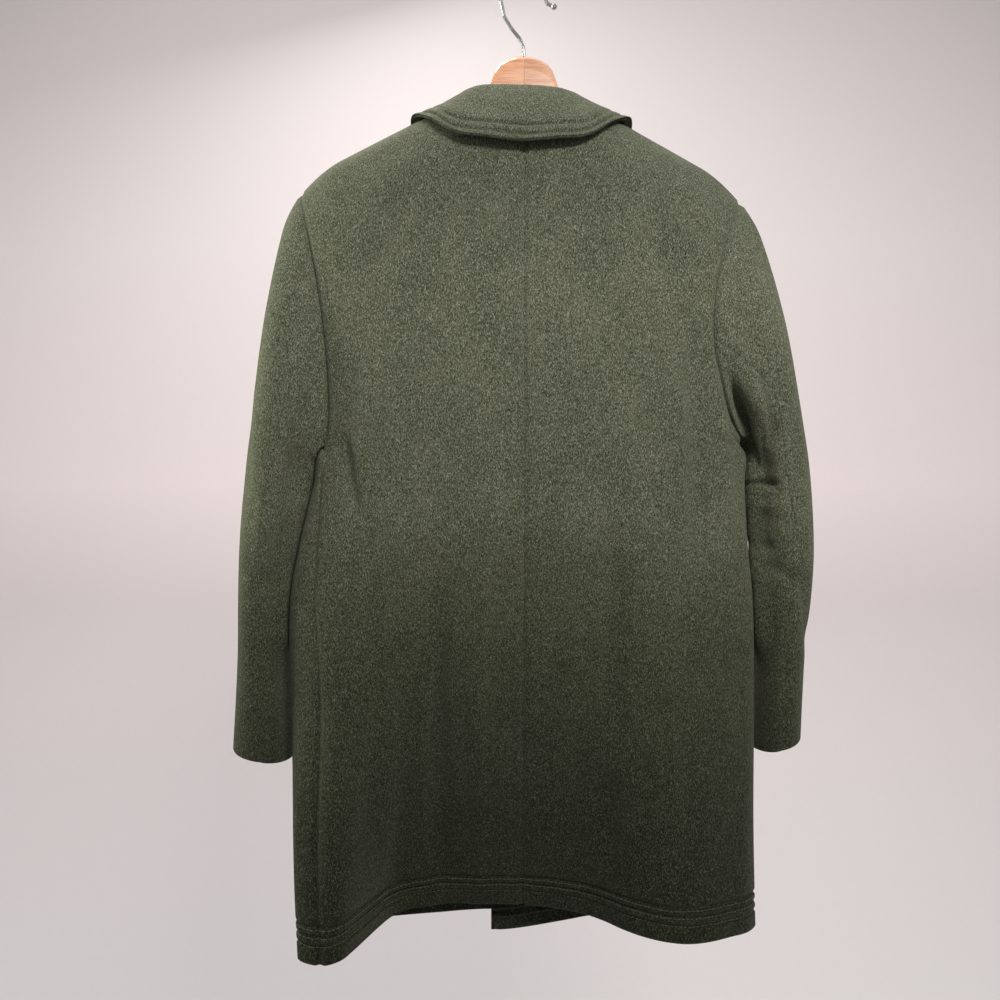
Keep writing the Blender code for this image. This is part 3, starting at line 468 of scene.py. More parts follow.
def crease(points, normals, part):
    """Moves the points out or in along their normals, by the creases of a part."""
    total = np.zeros(points.shape[:2])
    for row in CREASES:
        fold = dict(zip(CREASE_COLUMNS, row))
        if fold["part"] != part:
            continue
        start = np.array((fold["x_top"], fold["z_top"]))
        end = np.array((fold["x_foot"], fold["z_foot"]))
        way = end - start
        length = np.linalg.norm(way)
        offset = points[..., (0, 2)] - start
        along = (offset @ way) / length ** 2
        beside = np.abs(offset[..., 0] * way[1] - offset[..., 1] * way[0]) / length
        waver = np.sin(along * WAVER_ALONG + fold["x_top"] * WAVER_START)
        beside = beside + CREASE_WAVER * fold["half_width"] * waver
        profile = np.cos(np.clip(beside / fold["half_width"], 0, 1) * math.pi / 2) ** 2
        start_share = smoothstep((along + CREASE_PAST) / CREASE_FADE)
        end_share = smoothstep((1 + CREASE_PAST - along) / CREASE_FADE)
        total += fold["depth"] * profile * start_share * end_share
    facing = 1 if part in ("front", "sleeve_front") else -1
    wrap = FOLD_WRAP if part == "fold" else 0.0
    shown = smoothstep(normals[..., 1] * facing * FACING_FADE + wrap)
    return points + normals * (total * shown)[..., None]


def groove(points, normals, distance, rows):
    """Sinks the cloth along rows of sewing, where distance is the way to the edge."""
    sink = np.zeros(points.shape[:2])
    for row in rows:
        near = np.clip(np.abs(distance - row) / GROOVE_HALF_WIDTH, 0, 1)
        sink = np.maximum(sink, GROOVE_DEPTH * np.cos(near * math.pi / 2) ** 2)
    return points - normals * sink[..., None]


def distance_from_foot(points):
    """How far each point is from the grid's last row, along its column."""
    steps = np.linalg.norm(np.diff(points, axis=0), axis=-1)
    return np.concatenate([np.cumsum(steps[::-1], axis=0)[::-1], np.zeros((1, points.shape[1]))])


# Making the walls

def soft_edged(grid, thickness, sewn):
    """The grid with its borders drawn in, so that the round of the edge ends at them.

    Where a border is sewn it ends a little past it, so no light comes through the seam.
    """
    out = grid.copy()
    draws = [thickness / 2 - (SEAM_CLOSE if border in sewn else 0.0) for border in BORDERS]
    out[0] += unit(grid[1] - grid[0]) * draws[0]
    out[-1] += unit(grid[-2] - grid[-1]) * draws[1]
    out[:, 0] += unit(grid[:, 1] - grid[:, 0]) * draws[2]
    out[:, -1] += unit(grid[:, -2] - grid[:, -1]) * draws[3]
    return out


def border_of(rows, columns):
    """The border of a grid in order, as numbers, and for each a number further inside."""
    loop = [(0, i) for i in range(columns)]
    loop += [(j, columns - 1) for j in range(1, rows)]
    loop += [(rows - 1, i) for i in range(columns - 2, -1, -1)]
    loop += [(j, 0) for j in range(rows - 2, 0, -1)]
    inside = [(min(max(j, EDGE_INSET), rows - 1 - EDGE_INSET),
               min(max(i, EDGE_INSET), columns - 1 - EDGE_INSET)) for j, i in loop]
    return loop, inside


def quads_of(rows, columns):
    """The numbers of a grid's points, and its faces."""
    number = np.arange(rows * columns).reshape(rows, columns)
    corners = [number[:-1, :-1], number[1:, :-1], number[1:, 1:], number[:-1, 1:]]
    return number, np.stack(corners, axis=-1).reshape(-1, 4)


def wall_object(name, cloth, thickness, sewn, material):
    """A closed wall with round edges from a fine grid."""
    grid = soft_edged(cloth.points, thickness, sewn)
    rows, columns = grid.shape[:2]
    inner = grid - cloth.normals * thickness
    count = rows * columns
    number, quads = quads_of(rows, columns)
    faces = [quads, (quads + count)[:, ::-1]]
    loop, inside = border_of(rows, columns)
    a = np.array([grid[k] for k in loop])
    b = np.array([inner[k] for k in loop])
    middle = (a + b) / 2
    out = middle - np.array([(grid[k] + inner[k]) / 2 for k in inside])
    up = unit(a - b)
    out = unit(out - up * (out * up).sum(axis=1, keepdims=True))
    rings = [np.array([number[k] for k in loop])]
    extra = []
    for step in range(1, EDGE_STEPS):
        turn = math.pi * step / EDGE_STEPS
        rise = (a - middle) * math.cos(turn)
        extra.append(middle + rise + out * thickness / 2 * math.sin(turn))
        rings.append(2 * count + (step - 1) * len(loop) + np.arange(len(loop)))
    rings.append(rings[0] + count)
    for upper, lower in zip(rings, rings[1:]):
        corners = [upper, np.roll(upper, -1), np.roll(lower, -1), lower]
        faces.append(np.stack(corners, axis=-1))
    vertices = np.concatenate([grid.reshape(-1, 3), inner.reshape(-1, 3)] + extra)
    return mesh_object(name, vertices, np.concatenate(faces), material)


def linked(name, data):
    """A new object of the scene that holds the data."""
    made = bpy.data.objects.new(name, data)
    bpy.context.scene.collection.objects.link(made)
    return made


def smooth_outward(mesh):
    """Turns a mesh's faces outward and shades it smooth."""
    shape = bmesh.new()
    shape.from_mesh(mesh)
    bmesh.ops.recalc_face_normals(shape, faces=shape.faces)
    shape.to_mesh(mesh)
    shape.free()
    mesh.shade_smooth()


def mesh_object(name, vertices, faces, material):
    mesh = bpy.data.meshes.new(name)
    mesh.from_pydata(np.asarray(vertices).tolist(), [], np.asarray(faces).tolist())
    made = linked(name, mesh)
    made.data.materials.append(material)
    smooth_outward(mesh)
    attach(made, "root")
    return made


# Sewing

def line_at(cloth, distance):
    """Where a row of sewing runs: the place on each column at a distance from the foot."""
    far = distance_from_foot(cloth.points)
    points = []
    normals = []
    for i in range(cloth.points.shape[1]):
        column = far[::-1, i]
        points.append(read_at(distance, column, cloth.points[::-1, i]))
        normals.append(read_at(distance, column, cloth.normals[::-1, i]))
    return np.array(points), unit(np.array(normals))


def read_at(place, places, vectors):
    """The vector at a place between the places of a line of vectors."""
    return np.array([np.interp(place, places, vectors[:, c]) for c in range(3)])


def stitches(name, lines, material):
    """Short threads along lines on the cloth, half sunk in it."""
    vertices = []
    faces = []
    for points, normals in lines:
        steps = np.linalg.norm(np.diff(points, axis=0), axis=1)
        reach = np.concatenate([[0.0], np.cumsum(steps)])
        count = int(reach[-1] / STITCH_PITCH)
        for k in range(count):
            start = (k + 0.5) * reach[-1] / count - STITCH_LENGTH / 2
            ends = [read_at(s, reach, points) for s in (start, start + STITCH_LENGTH)]
            up = unit(read_at(start, reach, normals))
            add_thread(vertices, faces, *ends, up, STITCH_RADIUS, STITCH_RISE)
    return mesh_object(name, vertices, faces, material)


def add_thread(vertices, faces, start, end, up, radius, rise):
    """A short plump thread from start to end, bowed up in its middle."""
    way = end - start
    side = unit(np.cross(way, up))
    base = len(vertices)
    for share, size in THREAD_PROFILE:
        centre = start + way * share + up * rise * (size * 2 - 1) * 2
        for n in range(STITCH_SIDES):
            turn = 2 * math.pi * n / STITCH_SIDES
            out = side * math.cos(turn) + up * math.sin(turn)
            vertices.append(centre + out * radius * size)
    rings = len(THREAD_PROFILE)
    half = STITCH_SIDES // 2
    for r in range(rings - 1):
        for n in range(STITCH_SIDES):
            m = (n + 1) % STITCH_SIDES
            a = base + r * STITCH_SIDES
            faces.append((a + n, a + m, a + m + STITCH_SIDES, a + n + STITCH_SIDES))
    for r in (0, rings - 1):
        a = base + r * STITCH_SIDES
        faces.append(tuple(a + n for n in range(half + 1)))
        faces.append((a, *(a + n for n in range(half, STITCH_SIDES))))


# Materials

# The sockets of a mix node's colours: its share, its two colours, and its result
MIX_INPUTS = (0, 6, 7)
MIX_OUTPUT = 2
SPECULAR = "Specular IOR Level"


class Nodes:
    """A material's nodes, made and joined by short calls."""

    def __init__(self, name):
        self.material = bpy.data.materials.new(name)
        self.material.use_nodes = True
        self.tree = self.material.node_tree
        self.shader = self.tree.nodes["Principled BSDF"]
        self.place = self.add("ShaderNodeTexCoord").outputs["Object"]

    def add(self, kind, **settings):
        node = self.tree.nodes.new(kind)
        for name, value in settings.items():
            setattr(node, name, value)
        return node

    def join(self, output, socket):
        self.tree.links.new(output, socket)

    def feed(self, value, socket):
        """Gives a socket an output, a number or a colour."""
        if hasattr(value, "is_linked"):
            self.join(value, socket)
        elif isinstance(value, float):
            socket.default_value = value
        else:
            socket.default_value = (*value, 1.0)

    def scaled(self, scale, turn=(0.0, 0.0, 0.0)):
        mapping = self.add("ShaderNodeMapping")
        mapping.inputs["Scale"].default_value = scale
        mapping.inputs["Rotation"].default_value = turn
        self.join(self.place, mapping.inputs["Vector"])
        return mapping.outputs["Vector"]

    def noise(self, vector, scale, detail=3.0, roughness=0.55, distortion=0.0):
        node = self.add("ShaderNodeTexNoise")
        node.inputs["Scale"].default_value = scale
        node.inputs["Detail"].default_value = detail
        node.inputs["Roughness"].default_value = roughness
        node.inputs["Distortion"].default_value = distortion
        self.join(vector, node.inputs["Vector"])
        return node.outputs["Fac"]

    def ramp(self, value, stops):
        node = self.add("ShaderNodeValToRGB")
        elements = node.color_ramp.elements
        while len(elements) < len(stops):
            elements.new(0.5)
        for element, (place, colour) in zip(elements, stops):
            element.position = place
            element.color = (*colour, 1.0)
        self.join(value, node.inputs["Fac"])
        return node.outputs["Color"]

    def mix(self, first, second, share, blend="MIX"):
        node = self.add("ShaderNodeMix", data_type="RGBA", blend_type=blend)
        for value, k in zip((share, first, second), MIX_INPUTS):
            self.feed(value, node.inputs[k])
        return node.outputs[MIX_OUTPUT]

    def math(self, operation, first, second):
        node = self.add("ShaderNodeMath", operation=operation)
        for value, socket in zip((first, second), node.inputs):
            self.feed(value, socket)
        return node.outputs[0]

    def level(self, low, high):
        """The height, from 0 at low to 1 at high."""
        height = self.add("ShaderNodeSeparateXYZ")
        self.join(self.place, height.inputs[0])
        share = self.add("ShaderNodeMapRange")
        share.inputs["From Min"].default_value = low
        share.inputs["From Max"].default_value = high
        self.join(height.outputs["Z"], share.inputs["Value"])
        return share.outputs["Result"]

    def bump(self, height, distance, strength=1.0, normal=None):
        node = self.add("ShaderNodeBump")
        node.inputs["Strength"].default_value = strength
        node.inputs["Distance"].default_value = distance
        self.join(height, node.inputs["Height"])
        if normal is not None:
            self.join(normal, node.inputs["Normal"])
        return node.outputs["Normal"]

    def set(self, **values):
        for name, value in values.items():
            self.shader.inputs[name.replace("_", " ")].default_value = value


def loden_material():
    """Milled wool: a dark olive ground under lighter hairs lying down it, a soft sheen, and
    painted shade that darkens it toward the hem.
    """
    n = Nodes("loden_cloth")
    hairs = n.noise(n.scaled((1.0, 1.0, 0.36)),
                    scale=1250.0, detail=3.0, roughness=0.68, distortion=0.4)
    wisps = n.noise(n.scaled((1.0, 1.0, 0.45), turn=(0.0, 0.30, 0.0)),
                    scale=1050.0, detail=4.0, roughness=0.68, distortion=0.3)
    cloud = n.noise(n.scaled((1.0, 1.0, 0.55)), scale=22.0, detail=4.0, roughness=0.6)
    ground = n.ramp(hairs, (
        (0.38, (0.013, 0.016, 0.008)),
        (0.50, (0.052, 0.056, 0.034)),
        (0.61, (0.110, 0.113, 0.080)),
    ))
    patches = n.ramp(cloud, ((0.34, (0.82, 0.84, 0.82)), (0.66, (1.16, 1.15, 1.16))))
    ground = n.mix(ground, patches, 1.0, "MULTIPLY")
    # Painted light and shade by height: the colour is multiplied much darker toward the hem, a
    # little lighter across the upper back and darker again near the collar
    painted_light_and_shade = n.ramp(n.level(PAINTED_SHADE_LOW, PAINTED_SHADE_HIGH), (
        (0.0, (0.09, 0.105, 0.068)),
        (0.16, (0.18, 0.205, 0.145)),
        (0.36, (0.48, 0.51, 0.43)),
        (0.50, (0.94, 0.97, 0.88)),
        (0.74, (1.06, 1.09, 1.01)),
        (0.86, (0.80, 0.83, 0.77)),
        (1.0, (0.78, 0.81, 0.75)),
    ))
    ground = n.mix(ground, painted_light_and_shade, 1.0, "MULTIPLY")
    lit = n.ramp(wisps, ((0.51, (0.0, 0.0, 0.0)), (0.65, (1.0, 1.0, 1.0))))
    tips = n.mix((0.225, 0.230, 0.188), painted_light_and_shade, 0.80, "MULTIPLY")
    n.join(n.mix(ground, tips, lit), n.shader.inputs["Base Color"])
    pile = n.math("ADD", hairs, n.math("MULTIPLY", wisps, 0.9))
    rough = n.bump(pile, distance=0.0009, strength=0.9)
    waves = n.noise(n.place, scale=34.0, detail=2.0, roughness=0.5)
    n.join(n.bump(waves, distance=0.0030, strength=0.35, normal=rough),
           n.shader.inputs["Normal"])
    n.set(Roughness=0.92, Sheen_Weight=0.10, Sheen_Roughness=0.45,
          Sheen_Tint=(0.84, 0.86, 0.68, 1.0))
    n.shader.inputs[SPECULAR].default_value = 0.08
    return n.material


def thread_material():
    n = Nodes("sewing_thread")
    twist = n.noise(n.place, scale=1800.0, detail=1.0)
    n.join(n.ramp(twist, ((0.3, (0.030, 0.034, 0.020)), (0.7, (0.085, 0.090, 0.060)))),
           n.shader.inputs["Base Color"])
    n.join(n.bump(twist, distance=0.0002), n.shader.inputs["Normal"])
    n.set(Roughness=0.7, Sheen_Weight=0.2)
    return n.material


def horn_material():
    n = Nodes("button_horn")
    swirl = n.noise(n.scaled((1.0, 1.0, 2.6), turn=(0.0, 0.6, 0.0)),
                    scale=70.0, detail=5.0, roughness=0.65, distortion=2.2)
    n.join(n.ramp(swirl, (
        (0.30, (0.018, 0.010, 0.006)),
        (0.52, (0.070, 0.038, 0.020)),
        (0.66, (0.200, 0.120, 0.062)),
    )), n.shader.inputs["Base Color"])
    n.join(n.bump(swirl, distance=0.0002, strength=0.3), n.shader.inputs["Normal"])
    n.set(Roughness=0.32)
    return n.material


def wood_material(name, lightness):
    """Pale even-grained wood under a thin varnish, its grain along the hanger's arms."""
    n = Nodes(name)
    grain = n.noise(n.scaled((0.10, 1.0, 1.0), turn=(0.0, 0.2, 0.0)),
                    scale=210.0, detail=4.0, roughness=0.6, distortion=1.2)
    pores = n.noise(n.scaled((0.05, 1.0, 1.0)), scale=1400.0, detail=2.0, roughness=0.6)
    shades = ((0.30, (0.46, 0.200, 0.095)), (0.50, (0.64, 0.310, 0.160)),
              (0.72, (0.74, 0.400, 0.220)))
    colour = n.ramp(grain, [(place, [c * lightness for c in shade]) for place, shade in shades])
    dark = n.ramp(pores, ((0.36, (0.80, 0.74, 0.68)), (0.48, (1.0, 1.0, 1.0))))
    n.join(n.mix(colour, dark, 1.0, "MULTIPLY"), n.shader.inputs["Base Color"])
    n.join(n.bump(pores, distance=0.0003, strength=0.5), n.shader.inputs["Normal"])
    n.set(Roughness=0.42, Coat_Weight=0.25, Coat_Roughness=0.25)
    return n.material


def steel_material():
    n = Nodes("hook_steel")
    marks = n.noise(n.scaled((1.0, 1.0, 0.2)), scale=500.0, detail=3.0)
    n.join(n.ramp(marks, ((0.3, (0.26, 0.26, 0.26)), (0.7, (0.42, 0.42, 0.42)))),
           n.shader.inputs["Base Color"])
    n.join(n.bump(marks, distance=0.0001, strength=0.4), n.shader.inputs["Normal"])
    n.set(Metallic=1.0, Roughness=0.24)
    return n.material


def wall_material():
    """Matt paint of one colour, with painted shade that changes from the floor up."""
    n = Nodes("wall_paint")
    grain = n.noise(n.place, scale=60.0, detail=4.0)
    darker = tuple(c * WALL_GRAIN for c in WALL_COLOUR)
    paint_colour = n.ramp(grain, ((0.3, darker), (0.7, WALL_COLOUR)))
    # Painted shade: the paint is multiplied darker toward the floor and the top than at the middle
    shade = n.ramp(n.level(SHADE_FOOT, SHADE_TOP), WALL_PAINTED_SHADE)
    n.join(n.mix(paint_colour, shade, 1.0, "MULTIPLY"), n.shader.inputs["Base Color"])
    stipple = n.noise(n.place, scale=420.0, detail=3.0)
    n.join(n.bump(stipple, distance=0.0006, strength=0.25), n.shader.inputs["Normal"])
    n.set(Roughness=0.85)
    n.shader.inputs[SPECULAR].default_value = 0.2
    return n.material


# The coat

def read_grids():
    """The outer grids of the panels. Torso columns go from the centre line to the side."""
    grids = {}
    for side in (LEFT, RIGHT):
        name = SIDE_NAMES[side]
        for face in ("back", "front"):
            wall = Wall(f"{face}_{name}", *GRID_SIZES[face])
            grids[face, side] = wall.outer(from_the_top(lambda p: p[0] * side))
        for half in ("top", "under"):
            wall = Wall(f"{half}_sleeve_{name}", *GRID_SIZES[half])
            grids[half, side] = wall.outer(from_the_top(lambda p: p[1]))
    grids["collar"] = Wall("collar", *GRID_SIZES["collar"]).outer(from_the_neck)
    return grids


def outward(grid, normals, shift=(0.0, 0.0, 0.0)):
    """Turns the normals to face away from the middle of each row, shifted."""
    centre = grid.mean(axis=1, keepdims=True) + shift
    away = ((grid - centre) * normals).sum()
    return normals if away > 0 else -normals


def beyond(own, other):
    """The line beyond a torso panel's upper border, on the panel that it is sewn to there."""
    line = 2 * own[0] - own[1]
    line[-SHOULDER_COLUMNS:] = other[1, -SHOULDER_COLUMNS:]
    return line


def torso_cloths(grids):
    """Fine cloths of the two backs, sewn at the centre, and of the two lapped fronts."""
    cloths = {}
    wide = {}
    for side in (LEFT, RIGHT):
        for face, other in (("back", "front"), ("front", "back")):
            grid = grids[face, side]
            top = beyond(grid, grids[other, side])
            edge = 2 * grid[:, -1] - grid[:, -2]
            edge[ARMHOLE_ROWS + 1:] = grids[other, side][ARMHOLE_ROWS + 1:, -2]
            wide[face, side] = (grid, top, edge)
    left, right = wide["back", LEFT], wide["back", RIGHT]
    middle = (left[0][:, :1] + right[0][:, :1]) / 2
    grid = np.concatenate([left[0][:, :0:-1], middle, right[0][:, 1:]], axis=1)
    top = np.concatenate([left[1][:0:-1], (left[1][:1] + right[1][:1]) / 2, right[1][1:]])
    points, seam = fine_torso(grid, top, left[2], right[2])
    normals = outward(points, normals_of(points), (0, TORSO_INSIDE, 0))
    whole = finished(points, normals, "back")
    cloths["back", LEFT] = whole.part(0, seam)
    cloths["back", RIGHT] = whole.part(seam, points.shape[1] - 1)
    for side in (LEFT, RIGHT):
        grid, top, edge = wide["front", side]
        points, _ = fine_torso(grid, top, None, edge)
        normals = outward(points, normals_of(points), (0, -TORSO_INSIDE, 0))
        cloths["front", side] = finished(points, normals, "front")
    return cloths


def fine_torso(grid, top, first_edge, last_edge):
    """Refines a torso grid both ways. Returns it with the column of its middle."""
    rows = places_of(grid)
    shoulder_band = (0.0, SEAM_BAND, SEAM_STEP)
    marks = fine_places(rows, [shoulder_band, (rows[-1] - SEWN_BAND, rows[-1], FINE_STEP)])
    columns = places_of(turned(grid))
    half = grid.shape[1] // 2
    seams = [-1] if first_edge is None else [0, half, -1]
    across = fine_places(columns, seam_bands(columns, seams))
    before, after = (None if edge is None else refined(edge[:, None], rows, marks)[:, 0]
                     for edge in (first_edge, last_edge))
    tall = refined(grid, rows, marks, before=top)
    fine = turned(refined(turned(tall), columns, across, before, after))
    return fine, nearest(across, columns[half])


def nearest(marks, place):
    """The number of the mark that is nearest to a place."""
    return int(np.argmin(np.abs(marks - place)))


def finished(points, normals, part):
    """The cloth of a torso part, with its creases and the grooves of its hem."""
    distance = distance_from_foot(points)
    points = crease(points, normals, part)
    points = groove(points, normals, distance, HEM_ROWS)
    return Cloth(points, normals)


def sleeve_cloths(grids):
    """Fine cloths of the top and under sleeves, refined together all round."""
    cloths = {}
    for side in (LEFT, RIGHT):
        top, under = grids["top", side], grids["under", side]
        back = (top[:, :1] + under[:, :1]) / 2
        front = (top[:, -1:] + under[:, -1:]) / 2
        ring = np.concatenate([back, top[:, 1:-1], front, under[:, -2:0:-1], back], axis=1)
        rows = places_of(ring)
        marks = fine_places(rows, seam_bands(rows, (0, -1)))
        columns = places_of(turned(ring))
        front_column = top.shape[1] - 1
        across = fine_places(columns, seam_bands(columns, (0, front_column, -1)))
        tall = refined(ring, rows, marks)
        fine = turned(refined(turned(tall), columns, across, tall[:, -2], tall[:, 1]))
        normals = outward(fine, normals_of(fine, closed=True))
        for part in ("sleeve", "sleeve_front", "fold"):
            fine = crease(fine, normals, part)
        whole = Cloth(fine, normals)
        seam = nearest(across, columns[front_column])
        cloths["top", side] = whole.part(0, seam)
        cloths["under", side] = whole.part(seam, fine.shape[1] - 1)
    return cloths


def collar_cloth(grids):
    grid = grids["collar"]
    rows = places_of(grid)
    marks = fine_places(rows, [(rows[-1] - COLLAR_SEWN_BAND, rows[-1], FINE_STEP)])
    columns = places_of(turned(grid))
    tall = refined(grid, rows, marks)
    fine = turned(refined(turned(tall), columns, fine_places(columns)))
    normals = normals_of(fine)
    fall_at_centre_back = normals[COLLAR_FALL_ROW, normals.shape[1] // 2]
    if fall_at_centre_back[1] > 0:
        normals = -normals
    fine = groove(fine, normals, distance_from_foot(fine), COLLAR_ROWS)
    return Cloth(fine, normals)


def rest_against(cloths):
    """Lets the sleeves out to the body where they hang close beside it."""
    for side in (LEFT, RIGHT):
        body = [tree_of(cloths[face, side]) for face in ("back", "front")]
        for half in ("top", "under"):
            cloth = cloths[half, side]
            room, push = room_and_push(cloth, side, body)
            steps = range(-REST_SPREAD, REST_SPREAD + 1)
            push = np.maximum.reduce([np.roll(push, step, axis=0) for step in steps])
            for _ in range(REST_SOFTENING):
                wide = np.pad(push, 1, mode="edge")
                push = (wide[:-2, 1:-1] + wide[2:, 1:-1] + wide[1:-1, :-2] + wide[1:-1, 2:]) / 4
            cloth.points = cloth.points + cloth.normals * np.minimum(push, room)[..., None]


def room_and_push(cloth, side, body):
    """How far each point can go out before it meets the body, and how far it is to go."""
    room = np.full(cloth.points.shape[:2], REST_REACH)
    push = np.zeros(room.shape)
    for j, i in np.ndindex(push.shape):
        point, normal = cloth.points[j, i], cloth.normals[j, i]
        is_beside = REST_FOOT < point[2] < REST_TOP[side]
        if normal[0] * side > REST_FACING or not is_beside:
            continue
        ray = (point.tolist(), normal.tolist(), REST_REACH)
        near = [tree.ray_cast(*ray)[3] for tree in body]
        near = [distance for distance in near if distance is not None]
        if near:
            fade = smoothstep((REST_TOP[side] - point[2]) / REST_FADE)
            fade *= smoothstep((point[2] - REST_FOOT) / REST_FADE)
            room[j, i] = max(0.0, min(near) - REST_GAP)
            push[j, i] = room[j, i] * fade
    return room, push


def tree_of(cloth):
    """A tree of the cloth's faces, to cast rays at."""
    _, quads = quads_of(*cloth.points.shape[:2])
    return BVHTree.FromPolygons(cloth.points.reshape(-1, 3).tolist(), quads.tolist())


def with_allowance(cloth):
    """The sleeve with its seam allowance at the armhole, turned in under the body's edge."""
    way = unit(cloth.points[0] - cloth.points[1])
    rows = [cloth.points[0] + way * along - cloth.normals[0] * under
            for along, under in reversed(ALLOWANCE)]
    points = np.concatenate([np.array(rows), cloth.points])
    normals = np.concatenate([np.repeat(cloth.normals[:1], len(ALLOWANCE), axis=0), cloth.normals])
    return Cloth(points, normals)


def seam_sink(cloth, sewn):
    """Draws the cloth in beside its seams, by the depth given for each of its sewn borders."""
    points = cloth.points
    lines = dict(zip(BORDERS, (points[:1], points[-1:], points[:, :1], points[:, -1:])))
    sink = np.zeros(points.shape[:2])
    for border, depth in sewn.items():
        away = np.linalg.norm(points - lines[border], axis=-1)
        sink = np.maximum(sink, depth * (1 - smoothstep(away / SEAM_SOFT)))
    return Cloth(points - cloth.normals * sink[..., None], cloth.normals)


def make_cloth(node, cloth, thickness, sewn, looks):
    piece = wall_object(f"{node}_cloth", cloth, thickness, sewn, looks["loden"])
    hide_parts(node)
    return piece


def make_sewing(name, cloth, distances, looks):
    rows = [line_at(cloth, distance) for distance in distances]
    sewn = stitches(name, rows, looks["thread"])
    return sewn


def make_coat(looks):
    """The coat's cloths and their sewing. Returns both, each by its node."""
    grids = read_grids()
    cloths = {**torso_cloths(grids), **sleeve_cloths(grids)}
    rest_against(cloths)
    pieces = {}
    hemmed = {}
    for (half, side), cloth in cloths.items():
        is_sleeve = half in ("top", "under")
        sewn = SEAMS["sleeve" if is_sleeve else half]
        cloth = seam_sink(cloth, sewn)
        if is_sleeve:
            node = f"{half}_sleeve_{SIDE_NAMES[side]}"
            cloth = with_allowance(cloth)
        else:
            node = f"{half}_{SIDE_NAMES[side]}"
            hemmed[node] = cloth
        pieces[node] = make_cloth(node, cloth, CLOTH, sewn, looks)
    collar = collar_cloth(grids)
    pieces["collar"] = make_cloth("collar", collar, COLLAR_CLOTH, ("top",), looks)
    sewing = {node: make_sewing(f"hem_sewing_{node}", cloth, HEM_ROWS, looks)
              for node, cloth in hemmed.items()}
    sewing["collar"] = make_sewing("collar_sewing", collar, COLLAR_ROWS, looks)
    return pieces, sewing


# Buttons

def make_button(number, looks):
    """A button with a dished face, four holes and its thread. Returns its centre and its back."""
    low, high = (np.array(c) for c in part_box(f"button_{number}"))
    centre = (low + high) / 2
    radius = (high[0] - low[0]) / 2
    back = low[1]
    depth = high[1] - back
    turns = np.arange(BUTTON_SIDES) * 2 * math.pi / BUTTON_SIDES
    rings = [np.stack([centre[0] + radius * r * np.cos(turns),
                       np.full(BUTTON_SIDES, back + depth * d),
                       centre[2] + radius * r * np.sin(turns)], axis=-1)
             for r, d in BUTTON_PROFILE]
    last = (len(rings) - 1) * BUTTON_SIDES
    faces = []
    for base in range(0, last, BUTTON_SIDES):
        for i in range(BUTTON_SIDES):
            k = (i + 1) % BUTTON_SIDES
            faces.append((base + i, base + k, base + BUTTON_SIDES + k, base + BUTTON_SIDES + i))
    faces += [tuple(range(BUTTON_SIDES)), tuple(range(last, last + BUTTON_SIDES))]
    mesh = bpy.data.meshes.new("button")
    mesh.from_pydata(np.concatenate(rings).tolist(), [], faces)
    body = linked(f"button_{number}_horn", mesh)
    for dx, dz in ((-1, -1), (1, -1), (-1, 1), (1, 1)):
        place = (centre[0] + dx * BUTTON_HOLE_OFFSET, back + depth,
                 centre[2] + dz * BUTTON_HOLE_OFFSET)
        cut_hole(body, place, BUTTON_HOLE_RADIUS, depth * BUTTON_HOLE_CUT)
    smooth_outward(body.data)
    body.data.set_sharp_from_angle(angle=BUTTON_SHARP)
    body.data.materials.clear()
    body.data.materials.append(looks["horn"])
    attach(body, "root")
    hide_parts(f"button_{number}")
    vertices, faces = [], []
    for dx in (-1, 1):
        for shift in (-BUTTON_THREAD_SHIFT, BUTTON_THREAD_SHIFT):
            middle = np.array((centre[0] + dx * BUTTON_HOLE_OFFSET + shift,
                               back + BUTTON_THREAD_LEVEL * depth, centre[2]))
            reach = np.array((0.0, 0.0, BUTTON_HOLE_OFFSET))
            add_thread(vertices, faces, middle - reach, middle + reach, FORWARD,
                       BUTTON_THREAD_RADIUS, THREAD_BOW)
    thread = mesh_object(f"button_{number}_thread", vertices, faces, looks["thread"])
    return centre, back


def cut_hole(body, place, radius, depth):
    bpy.ops.mesh.primitive_cylinder_add(vertices=BUTTON_HOLE_SIDES, radius=radius, depth=depth,
                                        location=place, rotation=(math.pi / 2, 0, 0))
    tool = bpy.context.object
    cut = body.modifiers.new("hole", "BOOLEAN")
    cut.object = tool
    cut.operation = "DIFFERENCE"
    cut.solver = "EXACT"
    deps = bpy.context.evaluated_depsgraph_get()
    made = bpy.data.meshes.new_from_object(body.evaluated_get(deps))
    body.modifiers.clear()
    body.data = made
    bpy.data.objects.remove(tool, do_unlink=True)


def make_buttonhole(number, centre, seat, looks):
    """Close bars of thread round a slit that runs from under the button."""
    vertices, faces = [], []
    y = seat + THREAD_SIT
    for k in range(BUTTONHOLE_BARS):
        x = centre[0] + BUTTONHOLE_PAST - BUTTONHOLE_LENGTH * k / (BUTTONHOLE_BARS - 1)
        for side in (-1, 1):
            ends = [np.array((x, y, centre[2] + side * BUTTONHOLE_WIDTH * share))
                    for share in (BUTTONHOLE_SLIT, 0.5)]
            add_thread(vertices, faces, *ends, FORWARD, BAR_RADIUS, THREAD_BOW)
    hole = mesh_object(f"buttonhole_{number}", vertices, faces, looks["thread"])


# Stage

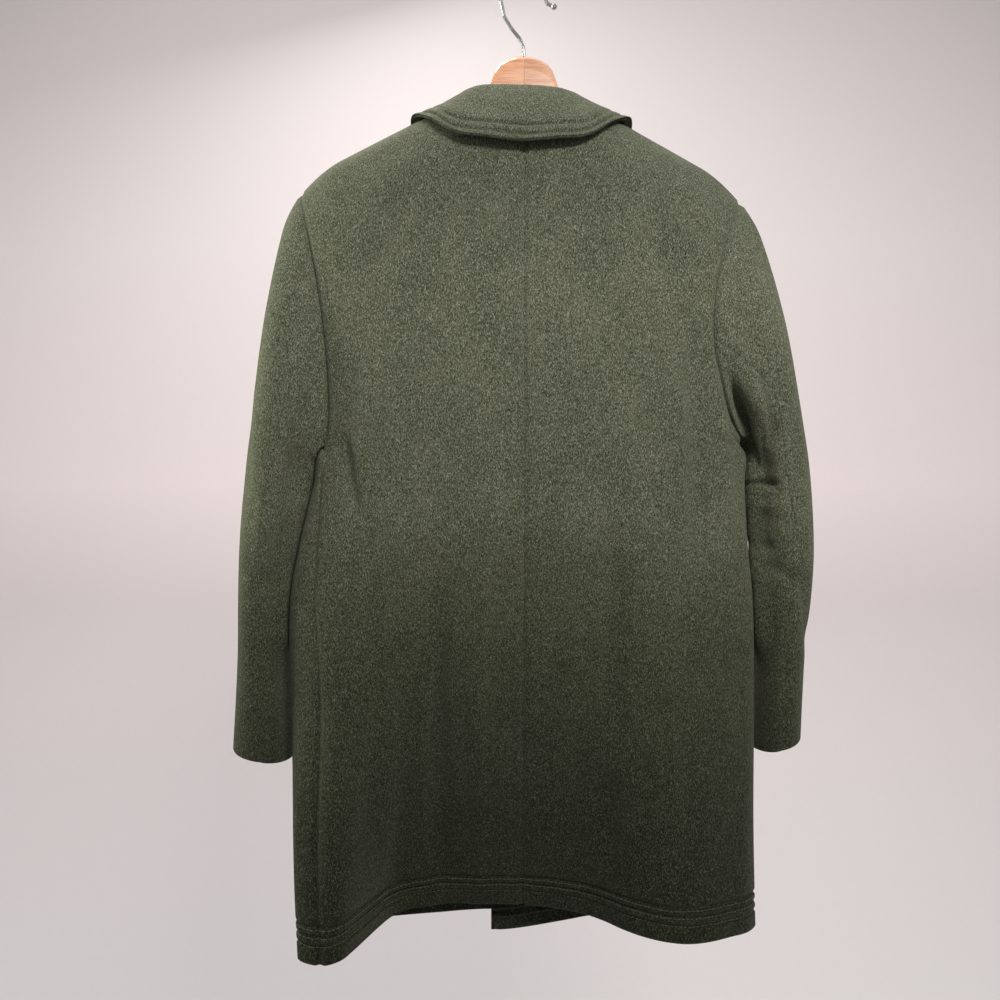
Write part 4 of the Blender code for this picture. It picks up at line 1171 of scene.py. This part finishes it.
def make_stage(looks):
    """A pale sheet of board: the floor, a round sweep, and the wall far behind the coat."""
    profile = [(-STAGE_REACH, FLOOR_Z)]
    for step in range(SWEEP_STEPS + 1):
        turn = math.pi / 2 * step / SWEEP_STEPS
        profile.append((WALL_Y - SWEEP_RADIUS + SWEEP_RADIUS * math.sin(turn),
                        FLOOR_Z + SWEEP_RADIUS * (1 - math.cos(turn))))
    profile.append((WALL_Y, STAGE_TOP))
    vertices = [(x, y, z) for y, z in profile for x in (-STAGE_REACH, STAGE_REACH)]
    faces = [(2 * k, 2 * k + 1, 2 * k + 3, 2 * k + 2) for k in range(len(profile) - 1)]
    board = mesh_object("backdrop", vertices, faces, looks["wall"])


def area_light(name, place, target, size, power, colour, spread):
    data = bpy.data.lights.new(name, "AREA")
    data.shape = "RECTANGLE"
    data.size, data.size_y = size
    data.energy = power
    data.spread = math.radians(spread)
    data.color = colour
    light = linked(name, data)
    light.location = place
    way = Vector(target) - Vector(place)
    light.rotation_euler = way.to_track_quat("-Z", "Y").to_euler()


def make_light():
    world = bpy.data.worlds.new("studio")
    world.use_nodes = True
    background = world.node_tree.nodes["Background"]
    background.inputs["Color"].default_value = WORLD_COLOUR
    background.inputs["Strength"].default_value = WORLD_STRENGTH
    bpy.context.scene.world = world
    for row in LIGHTS:
        area_light(**dict(zip(LIGHT_COLUMNS, row)))


def make_camera():
    data = bpy.data.cameras.new("photo")
    data.lens = CAMERA_LENS
    data.sensor_width = SENSOR_WIDTH
    camera = linked("photo", data)
    camera.location = CAMERA_PLACE
    camera.rotation_euler = (math.pi / 2, 0.0, 0.0)
    bpy.context.scene.camera = camera


def paint(node, material):
    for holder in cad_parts[node].material_slots:
        holder.material = material


def main():
    looks = {
        "loden": loden_material(),
        "thread": thread_material(),
        "horn": horn_material(),
        "wall": wall_material(),
    }
    make_camera()
    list(make_coat(looks))
    for number in range(1, BUTTON_COUNT + 1):
        centre, seat = make_button(number, looks)
        make_buttonhole(number, centre, seat, looks)
    for side, lightness in WOOD_LIGHTNESS.items():
        paint(f"hanger_{side}", wood_material(f"wood_{side}", lightness))
    paint("hanger_hook", steel_material())
    make_stage(looks)
    make_light()
    bpy.context.scene.view_settings.view_transform = "Standard"


main()
